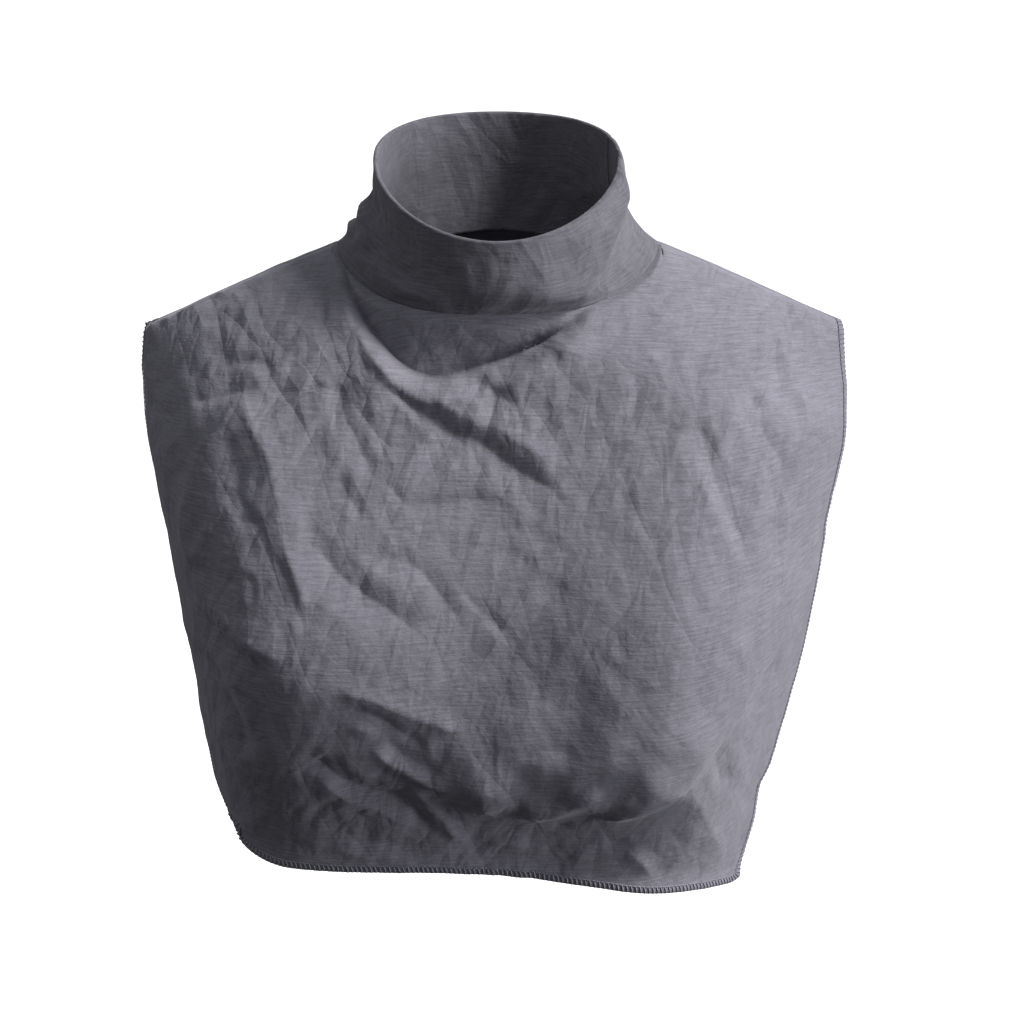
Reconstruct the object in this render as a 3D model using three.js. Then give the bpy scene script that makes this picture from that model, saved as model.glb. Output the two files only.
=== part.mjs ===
// A turtleneck dickey: two bibs of thin jersey, sewn together along the shoulders, with a doubled band
// collar sewn round their neckline and an overlocked edge round everything else. It has the form it
// takes when it is worn, with the folds that the cloth falls into.
//
// Millimetres, +Z up. The chest faces -Y and +X is on the right as the front is looked at. The origin is
// in the middle of the neck, level with the two neck points, where the shoulder seams meet the collar.

import * as THREE from "three";

// Cloth and seams
const CLOTH = 1.2; // wall of one layer of jersey
const BAND_WALL = 2.6; // wall of the collar band, two layers lying together
const SEAM_GAP = 0.3; // clearance between pieces that are sewn together
const BAND_SEAT = 0.8; // how far the band reaches down past the bibs' cut edge
const EDGING_WIDTH = 3.2; // overlocked edge, across the cut
const EDGING_THICKNESS = 2.0;

// Neckline and collar band
const NECK_WIDTH = 168; // between the neck points
const NECK_FRONT = 70; // forward reach of the neckline
const NECK_BACK = 54;
const RIM_WIDTH = 127; // across the folded rim of the band
const RIM_FRONT = 76;
const RIM_BACK = 60;
const RIM_SIDE_HEIGHT = 44; // rim above the neck points
const RIM_FRONT_HEIGHT = 16;
const RIM_BACK_HEIGHT = 56;
const RIM_ROUNDING = 0.9; // the folded rim's corners, rounded off

// Bibs
const SHOULDER_WIDTH = 382;
const SHOULDER_DROP = 46; // shoulder tip below the neck point
const SHOULDER_FALL = 58; // height over which a bib rounds over the shoulder
const NECK_ROUNDING = 40; // where the shoulder lines run together over the neck
const FRONT_LENGTH = 316; // from the neck points down to the left end of the hem
const FRONT_HEM_DROP = 34; // the right end of the front hem below its left end
const FRONT_REACH = 140; // furthest forward of the shoulder seam
const BACK_LENGTH = 312;
const BACK_REACH = 88;
const LEFT_CORNER_RADIUS = 42; // front hem corners
const RIGHT_CORNER_RADIUS = 14;
const BACK_CORNER_RADIUS = 40;

// Unit sizes of the folds
const FOLD_WIDTH = 20;
const FOLD_HEIGHT = 6;
const FOLD_CLEAR = 6; // no fold within this distance of the neckline and the shoulder seam
const FOLD_START = 20; // and folds of full height from this one

// Shape of the curves
const SHOULDER_BEND = 1.5; // power of the curve over the shoulder, 2 is an ellipse
const SHOULDER_STRETCH = 1.9; // cloth over the shoulder, as a share of its fall
const BAND_FLARE = 3.4; // power with which the band widens toward its seam
const BAND_FOLD_START = 0.15; // share of the band's height in which folds die out at its seam
const HEM_SWEEP = 2.8; // power of the hem's fall from left to right
const BUST_SHARE = 0.45; // where across a bib its depth is greatest
const LEFT_TURN = 0.6; // power with which the cloth turns back toward its edges, 0.5 is an ellipse
const RIGHT_TURN = 1.0;
const LEFT_FLAT = 3.2; // 2 turns it back evenly, and more keeps it facing forward for longer
const RIGHT_FLAT = 2;
const SPREAD_SHARE = 0.5; // share of a bib's rows in which its columns spread out to the full width

// Facets
const FRONT_COLUMNS = 38;
const FRONT_NECK_COLUMNS = 20; // of them end on the neckline, and the rest on the shoulder seams
const FRONT_ROWS = 38;
const BACK_COLUMNS = 28;
const BACK_NECK_COLUMNS = 16;
const BACK_ROWS = 18;
const BAND_COLUMNS = 56;
const BAND_ROWS = 8;
const FACET_ROOM = 0.5; // room at the neckline for the flat stretches between its corners
const NECKLINE_PASSES = 8; // until the neckline's height settles
const PLACING_PASSES = 3; // until a place on a bib settles

// The front bib from the neck points down, as shares of FRONT_LENGTH: half widths as shares of half
// SHOULDER_WIDTH, and depths at the middle, over the bust and at both edges as shares of FRONT_REACH.
const FRONT_STATIONS = [
  { down: 0.0, left: 0.99, right: 0.965, middle: 0.54, bust: 0.5, leftEdge: 0.04, rightEdge: 0.1 },
  { down: 0.18, left: 0.985, right: 0.97, middle: 0.6, bust: 0.58, leftEdge: 0.03, rightEdge: 0.14 },
  { down: 0.3, left: 0.99, right: 0.97, middle: 0.7, bust: 0.71, leftEdge: 0.0, rightEdge: 0.18 },
  { down: 0.43, left: 0.958, right: 0.928, middle: 0.83, bust: 0.87, leftEdge: -0.03, rightEdge: 0.2 },
  { down: 0.55, left: 0.922, right: 0.908, middle: 0.92, bust: 0.98, leftEdge: -0.04, rightEdge: 0.21 },
  { down: 0.67, left: 0.892, right: 0.879, middle: 0.95, bust: 1.0, leftEdge: -0.01, rightEdge: 0.22 },
  { down: 0.78, left: 0.867, right: 0.839, middle: 0.91, bust: 0.94, leftEdge: 0.07, rightEdge: 0.24 },
  { down: 0.89, left: 0.835, right: 0.795, middle: 0.79, bust: 0.81, leftEdge: 0.18, rightEdge: 0.27 },
  { down: 1.0, left: 0.8, right: 0.745, middle: 0.7, bust: 0.72, leftEdge: 0.32, rightEdge: 0.32 },
  { down: 1.11, left: 0.79, right: 0.7, middle: 0.66, bust: 0.68, leftEdge: 0.36, rightEdge: 0.36 },
];

// The back bib in the same way, as shares of BACK_LENGTH and BACK_REACH.
const BACK_STATIONS = [
  { down: 0.0, left: 0.97, right: 0.95, middle: 0.82, bust: 0.72, leftEdge: 0.2, rightEdge: 0.2 },
  { down: 0.18, left: 0.96, right: 0.94, middle: 0.9, bust: 0.9, leftEdge: 0.27, rightEdge: 0.27 },
  { down: 0.38, left: 0.93, right: 0.9, middle: 0.95, bust: 1.0, leftEdge: 0.34, rightEdge: 0.34 },
  { down: 0.65, left: 0.85, right: 0.83, middle: 0.93, bust: 0.97, leftEdge: 0.4, rightEdge: 0.4 },
  { down: 1.0, left: 0.74, right: 0.7, middle: 0.84, bust: 0.86, leftEdge: 0.45, rightEdge: 0.45 },
];

// Folds of a bib. Each runs from one place to another, across as a share of half SHOULDER_WIDTH and
// down as a share of the bib's length, and bows down in its middle by a share of its own length. Its
// width and height are in FOLD_WIDTH and FOLD_HEIGHT, and a valley's height is below zero.
const FRONT_FOLDS = [
  // Hollow under the band, and the rolls that bound it
  { across: -0.3, down: 0.07, toAcross: 0.24, toDown: 0.06, bow: 0.12, width: 1.5, height: -1.0 },
  { across: -0.42, down: 0.02, toAcross: 0.165, toDown: 0.3, bow: 0.09, width: 0.8, height: 1.0 },
  { across: -0.16, down: 0.15, toAcross: 0.3, toDown: 0.05, bow: 0.06, width: 0.8, height: 0.9 },
  { across: -0.28, down: 0.18, toAcross: 0.165, toDown: 0.335, bow: 0.0, width: 0.8, height: -1.1 },
  { across: -0.3, down: 0.195, toAcross: -0.15, toDown: 0.265, bow: 0.0, width: 0.6, height: 0.5 },
  { across: -0.09, down: 0.155, toAcross: 0.05, toDown: 0.205, bow: 0.0, width: 0.7, height: -0.7 },
  { across: 0.05, down: 0.14, toAcross: 0.2, toDown: 0.11, bow: 0.0, width: 0.7, height: -0.6 },
  // Left of the neck
  { across: -0.42, down: 0.02, toAcross: -0.33, toDown: 0.18, bow: 0.05, width: 0.6, height: -0.7 },
  { across: -0.42, down: 0.16, toAcross: -0.33, toDown: 0.3, bow: 0.08, width: 0.7, height: -0.5 },
  // Folds that fan out from the left armhole
  { across: -0.76, down: 0.2, toAcross: -0.5, toDown: 0.165, bow: -0.08, width: 0.6, height: -0.5 },
  { across: -0.68, down: 0.21, toAcross: -0.83, toDown: 0.42, bow: 0.05, width: 0.7, height: 0.6 },
  { across: -0.69, down: 0.25, toAcross: -0.6, toDown: 0.4, bow: 0.0, width: 0.7, height: -0.6 },
  { across: -0.65, down: 0.22, toAcross: -0.49, toDown: 0.5, bow: 0.03, width: 0.7, height: 0.7 },
  { across: -0.8, down: 0.52, toAcross: -0.6, toDown: 0.59, bow: 0.0, width: 0.9, height: -1.2 },
  { across: -0.76, down: 0.48, toAcross: -0.54, toDown: 0.57, bow: 0.0, width: 0.8, height: 0.7 },
  { across: -0.74, down: 0.58, toAcross: -0.68, toDown: 0.75, bow: 0.0, width: 0.8, height: -0.9 },
  // Long folds at the right
  { across: 0.5, down: 0.13, toAcross: 0.67, toDown: 0.45, bow: 0.03, width: 0.7, height: -0.6 },
  { across: 0.5, down: 0.28, toAcross: 0.62, toDown: 0.45, bow: 0.0, width: 0.7, height: 0.5 },
  { across: 0.66, down: 0.19, toAcross: 0.76, toDown: 0.37, bow: -0.04, width: 0.6, height: -0.5 },
  { across: 0.765, down: 0.36, toAcross: 0.63, toDown: 0.59, bow: -0.04, width: 0.6, height: -0.5 },
  // Across the chest
  { across: -0.5, down: 0.38, toAcross: -0.18, toDown: 0.57, bow: 0.02, width: 0.9, height: -0.5 },
  { across: -0.31, down: 0.42, toAcross: -0.1, toDown: 0.53, bow: -0.12, width: 0.7, height: -0.5 },
  { across: -0.1, down: 0.46, toAcross: 0.02, toDown: 0.54, bow: 0.0, width: 0.6, height: -0.4 },
  { across: -0.26, down: 0.35, toAcross: 0.04, toDown: 0.345, bow: -0.05, width: 0.7, height: -0.4 },
  // Under the bust
  { across: -0.42, down: 0.61, toAcross: -0.09, toDown: 0.685, bow: 0.03, width: 0.8, height: 0.6 },
  { across: -0.42, down: 0.65, toAcross: -0.18, toDown: 0.72, bow: 0.0, width: 0.8, height: -0.6 },
  { across: -0.5, down: 0.75, toAcross: -0.18, toDown: 0.92, bow: 0.02, width: 0.9, height: -1.0 },
  { across: -0.4, down: 0.715, toAcross: -0.13, toDown: 0.93, bow: 0.0, width: 0.9, height: 0.8 },
  { across: 0.04, down: 0.71, toAcross: 0.22, toDown: 0.715, bow: -0.15, width: 0.6, height: -0.6 },
  { across: 0.02, down: 0.79, toAcross: 0.29, toDown: 0.73, bow: 0.08, width: 0.8, height: -0.5 },
  // Right corner of the hem, which flares out
  { across: 0.5, down: 0.8, toAcross: 0.61, toDown: 1.04, bow: 0.0, width: 0.9, height: -1.3 },
  { across: 0.54, down: 0.8, toAcross: 0.65, toDown: 1.04, bow: 0.0, width: 0.8, height: 1.0 },
  { across: 0.62, down: 0.72, toAcross: 0.8, toDown: 0.63, bow: 0.05, width: 0.9, height: -0.9 },
];

const BACK_FOLDS = [
  { across: -0.3, down: 0.05, toAcross: 0.3, toDown: 0.05, bow: 0.14, width: 1.4, height: 0.5 },
  { across: -0.75, down: 0.25, toAcross: -0.5, toDown: 0.62, bow: 0.03, width: 1.1, height: 0.6 },
  { across: 0.72, down: 0.22, toAcross: 0.48, toDown: 0.6, bow: -0.03, width: 1.1, height: 0.6 },
  { across: -0.25, down: 0.62, toAcross: -0.32, toDown: 1.05, bow: 0.0, width: 1.2, height: 0.7 },
  { across: 0.2, down: 0.66, toAcross: 0.27, toDown: 1.05, bow: 0.0, width: 1.2, height: 0.7 },
];

// Folds of the collar band, around as a share of the whole turn from the front middle to the right, up
// as a share of the band's height, and the rest as on a bib.
const BAND_FOLDS = [
  { around: -0.3, up: 0.3, toAround: -0.05, toUp: 0.1, bow: 0.0, width: 0.7, height: 0.8 },
  { around: -0.3, up: 0.52, toAround: -0.03, toUp: 0.22, bow: 0.0, width: 0.6, height: -0.5 },
  { around: 0.23, up: 0.7, toAround: 0.08, toUp: 0.05, bow: 0.0, width: 0.6, height: 0.5 },
  { around: 0.18, up: 0.45, toAround: 0.11, toUp: 0.1, bow: 0.0, width: 0.5, height: -0.5 },
  { around: 0.4, up: 0.2, toAround: 0.6, toUp: 0.2, bow: 0.1, width: 0.8, height: 0.4 },
];

const { clamp, lerp, smoothstep } = THREE.MathUtils;

// Smooth curves through the columns of a table, looked up by the share of the way down.
function curvesThrough(stations) {
  const columns = Object.keys(stations[0]).filter((name) => name !== "down");
  const curve = new THREE.CubicInterpolant(
    stations.map((row) => row.down),
    stations.flatMap((row) => columns.map((name) => row[name])),
    columns.length,
  );
  const lowest = stations[stations.length - 1].down;
  return (down) => {
    const found = curve.evaluate(clamp(down, 0, lowest));
    return Object.fromEntries(columns.map((name, i) => [name, found[i]]));
  };
}

const FRONT = {
  facing: -1,
  columns: FRONT_COLUMNS,
  neckColumns: FRONT_NECK_COLUMNS,
  rows: FRONT_ROWS,
  neckReach: NECK_FRONT,
  length: FRONT_LENGTH,
  hemDrop: FRONT_HEM_DROP,
  reach: FRONT_REACH,
  corners: { left: LEFT_CORNER_RADIUS, right: RIGHT_CORNER_RADIUS },
  turns: { left: LEFT_TURN, right: RIGHT_TURN },
  flats: { left: LEFT_FLAT, right: RIGHT_FLAT },
  section: curvesThrough(FRONT_STATIONS),
  folds: FRONT_FOLDS,
};
const BACK = {
  facing: 1,
  columns: BACK_COLUMNS,
  neckColumns: BACK_NECK_COLUMNS,
  rows: BACK_ROWS,
  neckReach: NECK_BACK,
  length: BACK_LENGTH,
  hemDrop: 0,
  reach: BACK_REACH,
  corners: { left: BACK_CORNER_RADIUS, right: BACK_CORNER_RADIUS },
  turns: { left: RIGHT_TURN, right: RIGHT_TURN },
  flats: { left: RIGHT_FLAT, right: RIGHT_FLAT },
  section: curvesThrough(BACK_STATIONS),
  folds: BACK_FOLDS,
};

const HALF_NECK = NECK_WIDTH / 2;
const HALF_SHOULDER = SHOULDER_WIDTH / 2;
const ROUND_LENGTH = SHOULDER_FALL * SHOULDER_STRETCH;
const EDGE_INSET = EDGING_WIDTH + SEAM_GAP; // cloth ends here, inside the edging
const SIDE_INSET = EDGE_INSET / 2; // and at the sides, where it faces well outward
const NECK_INSET = (BAND_WALL + CLOTH) / 2 + SEAM_GAP + FACET_ROOM; // and here, outside the band

// Height of the shoulder seam's line at x, carried on over the neck.
function shoulderHeight(x) {
  const neck = Math.hypot(HALF_NECK, NECK_ROUNDING);
  const tip = Math.hypot(HALF_SHOULDER, NECK_ROUNDING);
  return (-SHOULDER_DROP * (Math.hypot(x, NECK_ROUNDING) - neck)) / (tip - neck);
}

// How deep a bib's cloth lies in front of or behind the shoulder seam at x and z.
function bodyDepth(bib, x, z) {
  const section = bib.section(-z / bib.length);
  const side = x < 0 ? "left" : "right";
  const out = Math.abs(x) / (section[side] * HALF_SHOULDER);
  if (out < BUST_SHARE) {
    return bib.reach * lerp(section.middle, section.bust, smoothstep(out, 0, BUST_SHARE));
  }
  const turned = Math.min((out - BUST_SHARE) / (1 - BUST_SHARE), 1);
  const kept = (1 - turned ** bib.flats[side]) ** bib.turns[side];
  return bib.reach * lerp(section[side + "Edge"], section.bust, kept);
}

// Over the shoulder a bib follows a quarter of a superellipse; turn goes from 0 on the seam to 1.
function overShoulder(turn) {
  const angle = (clamp(turn, 0, 1) * Math.PI) / 2;
  return {
    forward: Math.sin(angle) ** (2 / SHOULDER_BEND),
    fall: 1 - Math.cos(angle) ** (2 / SHOULDER_BEND),
  };
}

// The middle of a bib's cloth at x, along the cloth from the shoulder line, without folds.
function hangingPoint(bib, x, along) {
  const { forward, fall } = overShoulder(along / ROUND_LENGTH);
  const straight = Math.max(along - ROUND_LENGTH, 0);
  const z = shoulderHeight(x) - SHOULDER_FALL * fall - straight;
  const y = bib.facing * (bodyDepth(bib, x, z) * forward + SEAM_GAP / 2);
  return new THREE.Vector3(x, y, z);
}

// How far along the cloth at x a bib comes down to z.
function alongAt(x, z) {
  const fallen = shoulderHeight(x) - z;
  if (fallen > SHOULDER_FALL) {
    return ROUND_LENGTH + fallen - SHOULDER_FALL;
  }
  const left = 1 - Math.max(fallen, 0) / SHOULDER_FALL;
  return (ROUND_LENGTH * 2 * Math.acos(left ** (SHOULDER_BEND / 2))) / Math.PI;
}

// A place on the neckline at an angle from the middle of a bib, and how far along the cloth it is.
function neckline(bib, angle) {
  const x = (HALF_NECK + NECK_INSET) * Math.sin(angle);
  const reach = (bib.neckReach + NECK_INSET) * Math.cos(angle);
  let turn = 0.5;
  for (let pass = 0; pass < NECKLINE_PASSES; pass++) {
    const z = shoulderHeight(x) - SHOULDER_FALL * overShoulder(turn).fall;
    const forward = clamp(reach / bodyDepth(bib, x, z), 0, 1);
    turn = (2 * Math.asin(forward ** (SHOULDER_BEND / 2))) / Math.PI;
  }
  return { x, along: turn * ROUND_LENGTH };
}

// Where a bib's top edge lies, for a column from -1 at the left to 1 at the right.
function topEdge(bib, column) {
  const neckShare = bib.neckColumns / bib.columns;
  const beyond = (Math.abs(column) - neckShare) / (1 - neckShare);
  if (beyond < 0) {
    return neckline(bib, ((column / neckShare) * Math.PI) / 2);
  }
  const tip = bib.section(0)[column < 0 ? "left" : "right"] * HALF_SHOULDER - EDGE_INSET;
  return { x: Math.sign(column) * lerp(HALF_NECK + NECK_INSET, tip, beyond), along: 0 };
}

// Draws a bib's square hem corner in to a quarter circle.
function roundCorner(radius, x, z, halfWidth, hem) {
  const out = (Math.abs(x) - halfWidth + radius) / radius;
  const low = (hem + radius - z) / radius;
  if (out <= 0 || low <= 0) {
    return { x, z };
  }
  const drawnIn = halfWidth - radius + radius * out * Math.sqrt(1 - (low * low) / 2);
  return {
    x: Math.sign(x) * drawnIn,
    z: hem + radius - radius * low * Math.sqrt(1 - (out * out) / 2),
  };
}

// A bib's cloth without folds, at a column from -1 to 1 and a row from 0 at the top to 1 at the hem.
function smoothBib(bib, column, row) {
  const top = topEdge(bib, column);
  const side = column < 0 ? "left" : "right";
  const spread = smoothstep(row, 0, SPREAD_SHARE);
  const hem = EDGE_INSET - bib.length - bib.hemDrop * ((column + 1) / 2) ** HEM_SWEEP;
  let x = top.x;
  let z = 0;
  let halfWidth = 0;
  for (let pass = 0; pass < PLACING_PASSES; pass++) {
    z = hangingPoint(bib, x, lerp(top.along, alongAt(x, hem), row)).z;
    halfWidth = bib.section(-z / bib.length)[side] * HALF_SHOULDER - SIDE_INSET;
    x = lerp(top.x, column * halfWidth, spread);
  }
  const corner = roundCorner(bib.corners[side] - EDGE_INSET, x, z, halfWidth, hem);
  return hangingPoint(bib, corner.x, alongAt(corner.x, corner.z));
}

// How high the folds stand at a place on the cloth, given in millimetres across and down.
function foldHeight(folds, across, down) {
  return folds.reduce((height, fold) => {
    const runAcross = fold.to[0] - fold.from[0];
    const runDown = fold.to[1] - fold.from[1];
    const length = Math.hypot(runAcross, runDown);
    const offAcross = across - fold.from[0];
    const offDown = down - fold.from[1];
    const share = (offAcross * runAcross + offDown * runDown) / (length * length);
    const bowed = 4 * fold.bow * length * share * (1 - share);
    const off = (offDown * runAcross - offAcross * runDown) / length - bowed;
    const halfWidth = (fold.width * FOLD_WIDTH) / 2;
    const taper = halfWidth / length;
    const ends = smoothstep(share, -taper, taper) * smoothstep(1 - share, -taper, taper);
    return height + fold.height * FOLD_HEIGHT * ends * Math.exp(-((off / halfWidth) ** 2));
  }, 0);
}

// Turns the outward direction of each point of a grid square to the cloth between its neighbours.
// A ring's rows close on themselves.
function faceOutward(grid, isOutward, isRing) {
  const rows = grid.length - 1;
  grid.forEach((row, j) => {
    const last = row.length - 1;
    const above = grid[Math.max(j - 1, 0)];
    const below = grid[Math.min(j + 1, rows)];
    row.forEach((place, i) => {
      const left = row[isRing ? (i + last) % (last + 1) : Math.max(i - 1, 0)];
      const right = row[isRing ? (i + 1) % (last + 1) : Math.min(i + 1, last)];
      const across = right.point.clone().sub(left.point);
      const down = below[i].point.clone().sub(above[i].point);
      place.outward = across.cross(down).normalize();
      if (place.outward.dot(isOutward(place.point)) < 0) {
        place.outward.negate();
      }
    });
  });
}

// A bib's cloth with its folds: rows of places from the top down, each with its outward direction.
function bibGrid(bib) {
  const { columns, rows } = bib;
  const folds = bib.folds.map((fold) => ({
    ...fold,
    from: [fold.across * HALF_SHOULDER, fold.down * bib.length],
    to: [fold.toAcross * HALF_SHOULDER, fold.toDown * bib.length],
  }));
  const columnAt = (i) => (2 * i) / columns - 1;
  const grid = [];
  for (let j = 0; j <= rows; j++) {
    const row = [];
    for (let i = 0; i <= columns; i++) {
      row.push({ point: smoothBib(bib, columnAt(i), j / rows) });
    }
    grid.push(row);
  }
  const awayFromBody = (point) => new THREE.Vector3(point.x / SHOULDER_WIDTH, bib.facing, 1);
  faceOutward(grid, awayFromBody, false);
  grid.toReversed().forEach((row) => {
    row.forEach(({ point, outward }, i) => {
      const fade = smoothstep(point.distanceTo(grid[0][i].point), FOLD_CLEAR, FOLD_START);
      point.addScaledVector(outward, fade * foldHeight(folds, point.x, -point.z));
    });
  });
  faceOutward(grid, awayFromBody, false);
  grid[0].forEach(({ outward }, i) => {
    if (Math.abs(columnAt(i)) * columns >= bib.neckColumns) {
      outward.setY(0).normalize();
    }
  });
  return grid;
}

// The middle of the collar band at a share of the turn from the front middle to the right, and a share
// of the way up from its seam to its rim.
function bandPoint(around, up) {
  const angle = around * 2 * Math.PI;
  const isFront = Math.cos(angle) >= 0;
  const bib = isFront ? FRONT : BACK;
  const seam = neckline(bib, isFront ? angle : Math.PI - angle);
  const base = hangingPoint(bib, seam.x, seam.along);
  const inward = new THREE.Vector3(-base.x, -base.y, 0).setLength(NECK_INSET);
  base.add(inward);
  base.z -= BAND_SEAT;
  const sides = (RIM_BACK_HEIGHT - RIM_FRONT_HEIGHT) / 2;
  const middle = (RIM_BACK_HEIGHT + RIM_FRONT_HEIGHT) / 2 - RIM_SIDE_HEIGHT;
  const rim = new THREE.Vector3(
    (Math.sin(angle) * RIM_WIDTH) / 2,
    -Math.cos(angle) * (isFront ? RIM_FRONT : RIM_BACK),
    RIM_SIDE_HEIGHT - sides * Math.cos(angle) + middle * Math.cos(angle) ** 2,
  );
  const flare = (1 - up) ** BAND_FLARE;
  return new THREE.Vector3(
    lerp(rim.x, base.x, flare),
    lerp(rim.y, base.y, flare),
    lerp(base.z, rim.z, up),
  );
}

// The collar band with its folds: rings of places from its seam up to its rim.
function bandGrid() {
  const girth = (Math.PI * (NECK_WIDTH + RIM_WIDTH)) / 2;
  const folds = BAND_FOLDS.map((fold) => ({
    ...fold,
    from: [fold.around * girth, -fold.up * RIM_SIDE_HEIGHT],
    to: [fold.toAround * girth, -fold.toUp * RIM_SIDE_HEIGHT],
  }));
  const grid = [];
  for (let j = 0; j <= BAND_ROWS; j++) {
    const ring = [];
    for (let i = 0; i < BAND_COLUMNS; i++) {
      ring.push({ point: bandPoint(i / BAND_COLUMNS, j / BAND_ROWS) });
    }
    grid.push(ring);
  }
  const awayFromNeck = (point) => new THREE.Vector3(point.x, point.y, 0);
  faceOutward(grid, awayFromNeck, true);
  grid.forEach((ring, j) => {
    const up = j / BAND_ROWS;
    const fade = smoothstep(up, 0, BAND_FOLD_START);
    ring.forEach(({ point, outward }, i) => {
      const turns = [i / BAND_COLUMNS, i / BAND_COLUMNS - 1];
      const height = turns.reduce((sum, turn) => {
        return sum + foldHeight(folds, turn * girth, -up * RIM_SIDE_HEIGHT);
      }, 0);
      point.addScaledVector(outward, fade * height);
    });
  });
  faceOutward(grid, awayFromNeck, true);
  return grid;
}

// Geometry from shared points and faces of three or four of them, turned so that its faces look out.
function closedGeometry(points, faces) {
  const triangles = faces.flatMap((face) => {
    return face.slice(2).map((corner, k) => [face[0], face[k + 1], corner]);
  });
  const volume = triangles.reduce((sum, [a, b, c]) => {
    return sum + points[a].dot(points[b].clone().cross(points[c]));
  }, 0);
  const turned = volume < 0 ? triangles.map(([a, b, c]) => [a, c, b]) : triangles;
  const geometry = new THREE.BufferGeometry().setFromPoints(points);
  geometry.setIndex(turned.flat());
  geometry.computeVertexNormals();
  return geometry;
}

// Cloth of one wall thickness about a grid, closed round its rim.
function clothGeometry(grid, wall) {
  const rows = grid.length - 1;
  const columns = grid[0].length - 1;
  const points = [wall / 2, -wall / 2].flatMap((off) => {
    return grid.flat().map(({ point, outward }) => point.clone().addScaledVector(outward, off));
  });
  const outer = (i, j) => j * (columns + 1) + i;
  const inner = (i, j) => points.length / 2 + outer(i, j);
  const faces = [];
  for (let j = 0; j < rows; j++) {
    for (let i = 0; i < columns; i++) {
      faces.push([outer(i, j), outer(i + 1, j), outer(i + 1, j + 1), outer(i, j + 1)]);
      faces.push([inner(i, j), inner(i, j + 1), inner(i + 1, j + 1), inner(i + 1, j)]);
    }
  }
  const closeRim = (i, j, k, l) => {
    faces.push([outer(i, j), inner(i, j), inner(k, l), outer(k, l)]);
  };
  for (let i = 0; i < columns; i++) {
    closeRim(i, 0, i + 1, 0);
    closeRim(i + 1, rows, i, rows);
  }
  for (let j = 0; j < rows; j++) {
    closeRim(0, j + 1, 0, j);
    closeRim(columns, j, columns, j + 1);
  }
  return closedGeometry(points, faces);
}

// A row of closed sections joined one to the next, round a ring or between two end faces.
function loftGeometry(sections, isRing) {
  const size = sections[0].length;
  const faces = [];
  const spans = isRing ? sections.length : sections.length - 1;
  for (let i = 0; i < spans; i++) {
    const here = i * size;
    const next = ((i + 1) % sections.length) * size;
    for (let k = 0; k < size; k++) {
      const after = (k + 1) % size;
      faces.push([here + k, next + k, next + after, here + after]);
    }
  }
  if (!isRing) {
    const ends = sections[0].map((_, k) => k);
    const last = (sections.length - 1) * size;
    faces.push(ends, ends.map((k) => last + k).reverse());
  }
  return closedGeometry(sections.flat(), faces);
}

// The collar band: its outer face, its rounded rim and its inner face.
function bandGeometry() {
  const grid = bandGrid();
  const rim = grid[BAND_ROWS];
  const sections = rim.map((place, i) => {
    const rise = place.point.clone().sub(grid[BAND_ROWS - 1][i].point).normalize();
    const at = ({ point, outward }, off, lift) => {
      return point.clone().addScaledVector(outward, off).addScaledVector(rise, lift);
    };
    const face = (off) => grid.slice(0, -1).map((ring) => at(ring[i], off, 0));
    return [
      ...face(BAND_WALL / 2),
      at(place, BAND_WALL / 2, -RIM_ROUNDING),
      at(place, BAND_WALL / 2 - RIM_ROUNDING, 0),
      at(place, RIM_ROUNDING - BAND_WALL / 2, 0),
      at(place, -BAND_WALL / 2, -RIM_ROUNDING),
      ...face(-BAND_WALL / 2).reverse(),
    ];
  });
  return loftGeometry(sections, true);
}

// The overlocked edge of a bib, down the left of its cloth, along the hem and up the right.
function edgingGeometry(bib, grid) {
  const { columns, rows } = bib;
  const edge = [];
  const addPlace = (i, j, insideI, insideJ) => {
    edge.push({ ...grid[j][i], inside: grid[insideJ][insideI].point });
  };
  for (let j = 0; j < rows; j++) {
    addPlace(0, j, 1, j);
  }
  for (let i = 0; i <= columns; i++) {
    addPlace(i, rows, clamp(i, 1, columns - 1), rows - 1);
  }
  for (let j = rows - 1; j >= 0; j--) {
    addPlace(columns, j, columns - 1, j);
  }
  const last = edge.length - 1;
  const sections = edge.map(({ point, outward, inside }, i) => {
    const run = edge[Math.min(i + 1, last)].point.clone().sub(edge[Math.max(i - 1, 0)].point);
    if (i === 0 || i === last) {
      run.set(0, run.y, 0);
    }
    const off = point.clone().sub(inside).projectOnPlane(run.normalize()).normalize();
    const lift = off.clone().cross(run).normalize();
    lift.multiplyScalar(Math.sign(lift.dot(outward)));
    const corner = (out, up) => {
      return point.clone().addScaledVector(off, out).addScaledVector(lift, up);
    };
    return [
      corner(SEAM_GAP, EDGING_THICKNESS / 2),
      corner(SEAM_GAP + EDGING_WIDTH, EDGING_THICKNESS / 2),
      corner(SEAM_GAP + EDGING_WIDTH, -EDGING_THICKNESS / 2),
      corner(SEAM_GAP, -EDGING_THICKNESS / 2),
    ];
  });
  return loftGeometry(sections, false);
}

function addPiece(group, name, geometry, material) {
  const mesh = new THREE.Mesh(geometry, material);
  mesh.name = name;
  group.add(mesh);
}

const jersey = new THREE.MeshStandardMaterial({ color: 0x6c6974, roughness: 0.9, metalness: 0 });
const bandJersey = new THREE.MeshStandardMaterial({ color: 0x66636e, roughness: 0.9, metalness: 0 });
const thread = new THREE.MeshStandardMaterial({ color: 0x4d4a55, roughness: 0.75, metalness: 0 });

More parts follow.
